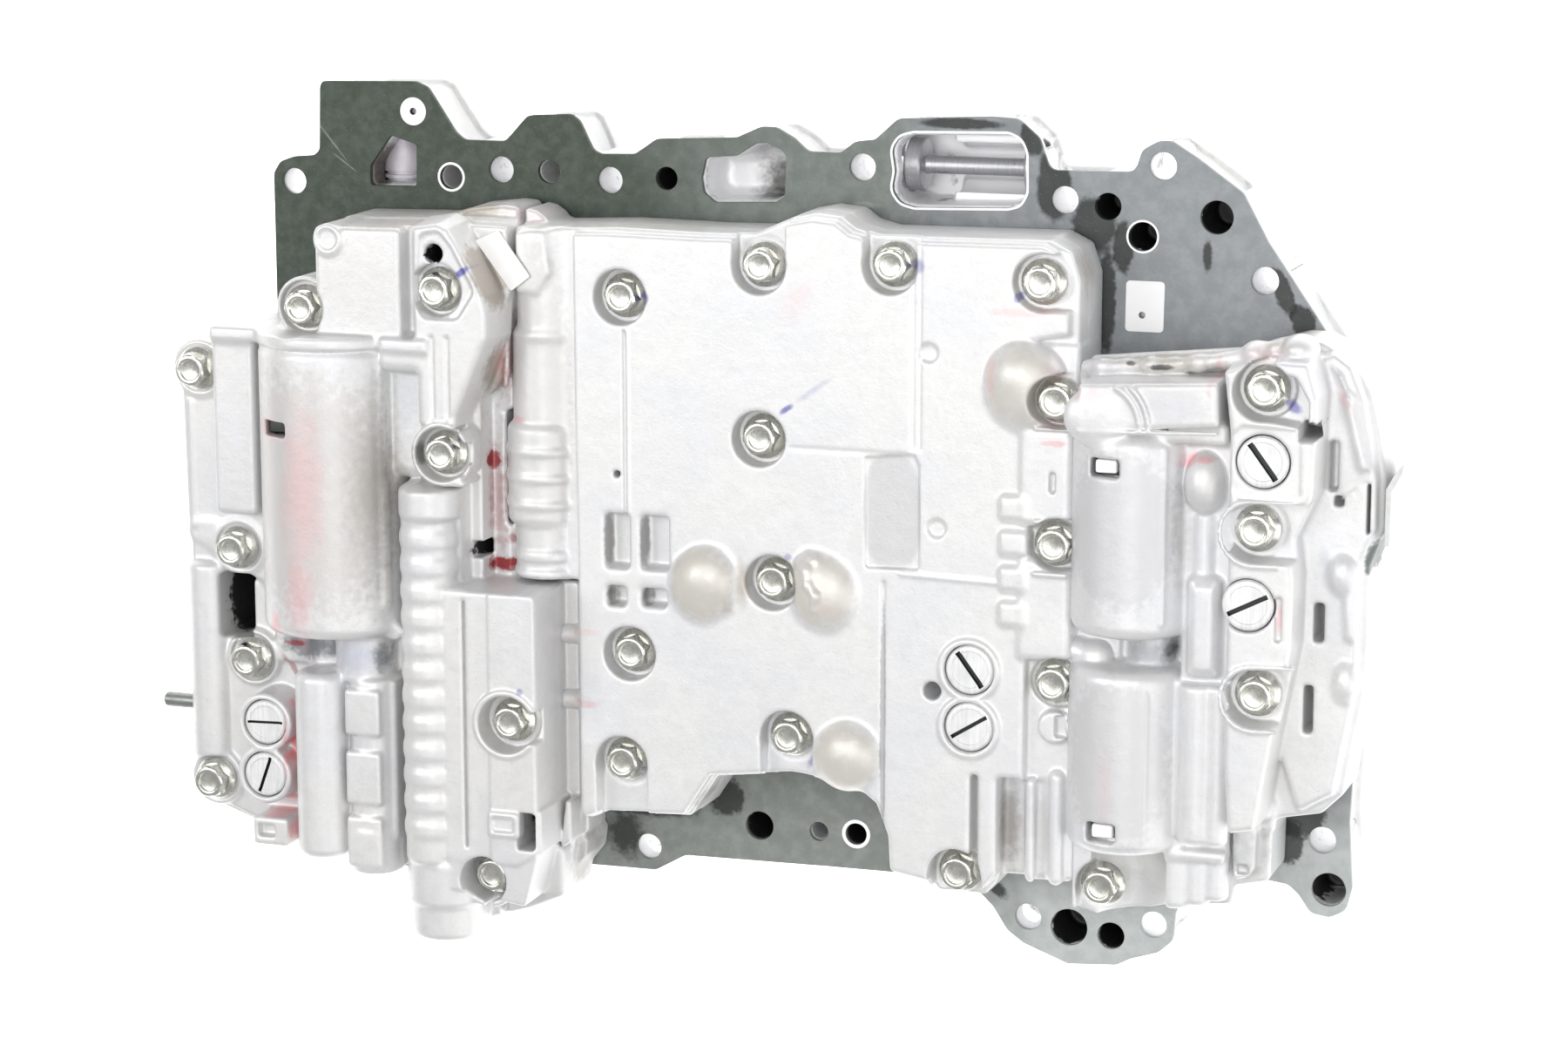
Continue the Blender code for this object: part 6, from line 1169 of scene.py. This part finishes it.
def slotted(name, x, y, top, angle, r, wide, replaced):
    bm = bmesh.new()
    lathe(bm, [(0, top - 9), (r - 0.6, top - 9), (r, top - 8.4), (r, top - 0.5), (r - 0.45, top - 0.08), (r - 0.9, top), (r - 1.5, top - 0.02), (r - 1.7, top - 0.25), (r - 2.0, top - 0.25), (0, top - 0.2)], 56)
    data = solid(name, bm, MACHINED_Z)
    obj = bpy.data.objects.new(name, data)
    bpy.context.scene.collection.objects.link(obj)
    obj.location = ((x + DX) * MM, y * MM, 0)
    bm = bmesh.new()
    bmesh.ops.create_cube(bm, size=1)
    bmesh.ops.scale(bm, vec=(r * 1.72, wide, 3.6), verts=bm.verts)
    bmesh.ops.translate(bm, vec=(0, 0, top + 0.1), verts=bm.verts)
    # painted shade: the slot's cut faces take this tool's near-black material
    tool = bpy.data.objects.new(name + "_slot", solid(name + "_slot", bm, SLOT_SHADE))
    bpy.context.scene.collection.objects.link(tool)
    tool.location = obj.location
    tool.rotation_euler.z = math.radians(angle)
    modifier = obj.modifiers.new("slot", "BOOLEAN")
    modifier.object = tool
    modifier.solver = "EXACT"
    modifier.material_mode = "TRANSFER"
    bpy.context.view_layer.update()
    graph = bpy.context.evaluated_depsgraph_get()
    cut = bpy.data.meshes.new_from_object(obj.evaluated_get(graph))
    obj.modifiers.clear()
    obj.data = cut
    cut.set_sharp_from_angle(angle=math.radians(32))
    bpy.data.objects.remove(tool, do_unlink=True)
    place(obj, replaced)


for number, (x, y, top, angle, r, wide) in enumerate([(-135.1, -56.9, 57.4, 2, 5.95, 0.7), (-135.5, -71.3, 57.4, 70, 5.95, 0.9), (58.2, -29.2, 49.9, -53, 6.3, 1.4), (58.2, -44.0, 49.9, 32, 6.3, 1.0),
                                                (133.6, 30.0, 59.5, -53, 6.35, 1.5), (130.7, -5.4, 59.5, 27, 6.35, 1.2)], 1):
    slotted(f"screw_plug_{number}", x, y, top, angle, r, wide, (f"slotted_plug_{number}",))


def turned(name, axis, centre, start, profile, mat, replaced, body=ROOT, n=64):
    """profile is (distance, radius) along the axis from start."""
    bm = bmesh.new()
    where = {"X": (start + DX, *centre), "Y": (centre[0] + DX, start, centre[1]), "Z": (centre[0] + DX, centre[1], start)}[axis]
    lathe(bm, [(0, profile[0][0])] + [(r, a) for a, r in profile] + [(0, profile[-1][0])], n, axis, where)
    obj = bpy.data.objects.new(name, solid(name, bm, mat))
    bpy.context.scene.collection.objects.link(obj)
    return place(obj, replaced, body)


turned("spool_in_window", "X", (93.5, 11.0), 29.6, [(0, 5.6), (0.3, 6.4), (0.8, 6.8), (4.3, 6.8), (4.7, 6.5), (4.9, 5.4), (5.0, 2.6), (5.6, 2.3), (31.6, 2.3), (32.2, 2.7), (32.2, 6.5), (32.6, 6.8), (34.6, 6.8), (35.0, 6.3)],
       ANODISED, ("upper_spool_valve",), "upper_spool_valve")
turned("plunger_in_window", "Y", (-112.0, 11.0), 77.5, [(0, 4.9), (0.4, 5.6), (1, 5.9), (6.9, 5.9), (7.0, 5.1), (7.7, 5.1), (7.8, 5.9), (8.7, 5.9), (8.8, 5.1), (9.5, 5.1), (9.6, 5.9), (23, 5.9), (23.6, 5.6), (24, 4.9)],
       LILAC, ("upper_plunger_valve",), "upper_plunger_valve")
turned("accumulator_cap_a", "Y", (-116.0, 49.0), 17.4, [(0, 15.4), (0.6, 16.05), (23.6, 16.05), (25.4, 15.6), (26.0, 14.8), (26.1, 12.0), (25.2, 11.6), (25.0, 5.0), (24.6, 4.6)], MACHINED, (), ROOT)
cap_a = bpy.data.objects["accumulator_cap_a"]
tool_bm = bmesh.new()
bmesh.ops.create_cube(tool_bm, size=1)
bmesh.ops.scale(tool_bm, vec=(7.0, 4.2, 40), verts=tool_bm.verts)
bmesh.ops.translate(tool_bm, vec=(-126.4 + DX, 24.5, 69.4), verts=tool_bm.verts)
tool = bpy.data.objects.new("cap_slot", solid("cap_slot", tool_bm, MACHINED))
bpy.context.scene.collection.objects.link(tool)
modifier = cap_a.modifiers.new("slot", "BOOLEAN")
modifier.object = tool
modifier.solver = "EXACT"
bpy.context.view_layer.update()
cut = bpy.data.meshes.new_from_object(cap_a.evaluated_get(bpy.context.evaluated_depsgraph_get()))
cap_a.modifiers.clear()
cap_a.data = cut
cut.set_sharp_from_angle(angle=math.radians(32))
bpy.data.objects.remove(tool, do_unlink=True)
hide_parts("accumulator_plug_a")
turned("stop_pin", "X", (-56.2, 44.6), -171.3, [(0, 1.2), (0.5, 1.9), (1.0, 2.0), (15.5, 2.0)], DARK, ("side_stop_pin",), ROOT, 32)
turned("long_valve_plug", "Y", (-85.6, 55.0), -109.0, [(0, 4.2), (0.1, 5.7), (0.5, 6.2), (10.4, 6.2), (10.5, 4.6), (17.6, 4.6)], MACHINED, ("long_spool_plug",))
turned("short_valve_plug", "Y", (-105.0, 52.6), -94.6, [(0, 3.2), (0.1, 4.2), (0.5, 4.6), (6.8, 4.6), (6.9, 3.5), (9.4, 3.5)], MACHINED, ("short_spool_plug",))


def block(name, low, high, edge, mat, replaced):
    bm = bmesh.new()
    bmesh.ops.create_cube(bm, size=1)
    bmesh.ops.scale(bm, vec=[b - a for a, b in zip(low, high)], verts=bm.verts)
    bmesh.ops.translate(bm, vec=[(a + b) / 2 + (DX if i == 0 else 0) for i, (a, b) in enumerate(zip(low, high))], verts=bm.verts)
    bmesh.ops.bevel(bm, geom=list(bm.edges), offset=edge, segments=3, affect="EDGES", profile=0.6)
    obj = bpy.data.objects.new(name, solid(name, bm, mat, 40))
    bpy.context.scene.collection.objects.link(obj)
    return place(obj, replaced)


# painted shade: key a is near black, as it sits in the shade of its slot
block("key_a", (-129.2, 22.9, 50), (-123.6, 26.1, 62.0), 0.4, SLOT_SHADE, ("retaining_key_a",))
# keys c and d are pure white: bare metal painted as a highlight
block("key_c", (92.2, 24.9, 48), (97.6, 28.2, 59.0), 0.7, BARE_RIM_HIGHLIGHT, ("retaining_key_c",))
block("key_d", (92.4, -67.4, 48), (97.8, -64.0, 57.8), 0.7, BARE_RIM_HIGHLIGHT, ("retaining_key_d",))
place(sheet("paper_label", rounded([(-75.0, 74.0), (-68.6, 76.8), (-59.9, 65.3), (-65.2, 61.3)], 0.5), [], 49.75, 50.15, 0.04, PAPER), ("blank_label",))
place(sheet("bracket", rounded([(161.0, 22.6), (163.4, 27.0), (165.2, 29.6), (164.9, 26.8), (162.4, 22.0), (162.2, 8.6), (161.0, 8.6)], 0.3, 3), [], 29.0, 46.0, 0.15, FIN), ("side_bracket",))

# The coil springs: copies of the solids' coils, with the spring finish
for tag, toward in (("a", 1), ("c", 1), ("d", -1)):
    node = "accumulator_spring_" + tag
    coil = bpy.data.objects.new("coil_" + tag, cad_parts[node].data.copy())
    bpy.context.scene.collection.objects.link(coil)
    coil.data.materials.clear()
    coil.data.materials.append(SPRING)
    coil.data.shade_smooth()
    coil.data.set_sharp_from_angle(angle=math.radians(35))
    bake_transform(coil)
    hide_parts(node)

# Pieces that stay as the solids are get the same finishes
for name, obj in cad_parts.items():
    if obj.hide_render:
        continue
    mat = SPRING if "spring" in name else ANODISED if "spool_valve" in name else MACHINED
    obj.data.materials.clear()
    obj.data.materials.append(mat)
    obj.data.shade_smooth()
    obj.data.set_sharp_from_angle(angle=math.radians(35))

# =====================================================================================
# Room, light and camera
# =====================================================================================
bm = bmesh.new()
bmesh.ops.create_grid(bm, x_segments=1, y_segments=1, size=6.0)
floor_data = bpy.data.meshes.new("floor")
bm.to_mesh(floor_data)
bm.free()
floor = bpy.data.objects.new("floor", floor_data)
bpy.context.scene.collection.objects.link(floor)
floor.location.z = -0.0002
white = Shader("floor_white")
white.finish((0.93, 0.93, 0.93), 0.9, 0.0, Emission_Color=(1.0, 1.0, 1.0, 1.0), Emission_Strength=1.0)
floor_data.materials.append(white.material)

world = bpy.data.worlds.new("studio")
bpy.context.scene.world = world
world.use_nodes = True
world.node_tree.nodes["Background"].inputs["Color"].default_value = (1.0, 1.0, 1.0, 1)
world.node_tree.nodes["Background"].inputs["Strength"].default_value = 0.42


def lamp(name, where, target, size, power, colour=(1, 1, 1)):
    data = bpy.data.lights.new(name, "AREA")
    data.shape = "RECTANGLE"
    data.size, data.size_y = size
    data.energy = power
    data.color = colour
    obj = bpy.data.objects.new(name, data)
    bpy.context.scene.collection.objects.link(obj)
    obj.location = where
    obj.rotation_euler = (Vector(target) - Vector(where)).to_track_quat("-Z", "Y").to_euler()
    return obj


lamp("key", (-0.75, 0.25, 1.05), (0, 0, 0.03), (0.6, 0.6), 4.8)
lamp("top", (0.10, 0.35, 1.45), (0, 0.02, 0.03), (1.2, 1.2), 5.7)
lamp("fill", (0.95, -0.25, 0.55), (0.02, 0, 0.04), (0.8, 0.8), 3.0)
lamp("near", (0.24, 0.06, 0.75), (0.15, 0.0, 0.05), (0.6, 0.6), 1.5)

TX, TY, DISTANCE = 0.345, 0.21, 1.0
back = Vector((TX, TY, 1.0)).normalized()
right = Vector((1.0, 0.0, -TX)).normalized()
up = back.cross(right)
camera_data = bpy.data.cameras.new("camera")
camera_data.lens = 88.0
camera_data.sensor_width = 36.0
camera_data.clip_start, camera_data.clip_end = 0.05, 20
camera = bpy.data.objects.new("camera", camera_data)
bpy.context.scene.collection.objects.link(camera)
spot = Vector((DX * MM, 0, 0.024)) + back * DISTANCE
camera.matrix_world = Matrix(((right.x, up.x, back.x, spot.x), (right.y, up.y, back.y, spot.y), (right.z, up.z, back.z, spot.z), (0, 0, 0, 1)))
bpy.context.scene.camera = camera
bpy.context.scene.view_settings.view_transform = "Standard"
bpy.context.scene.view_settings.look = "None"
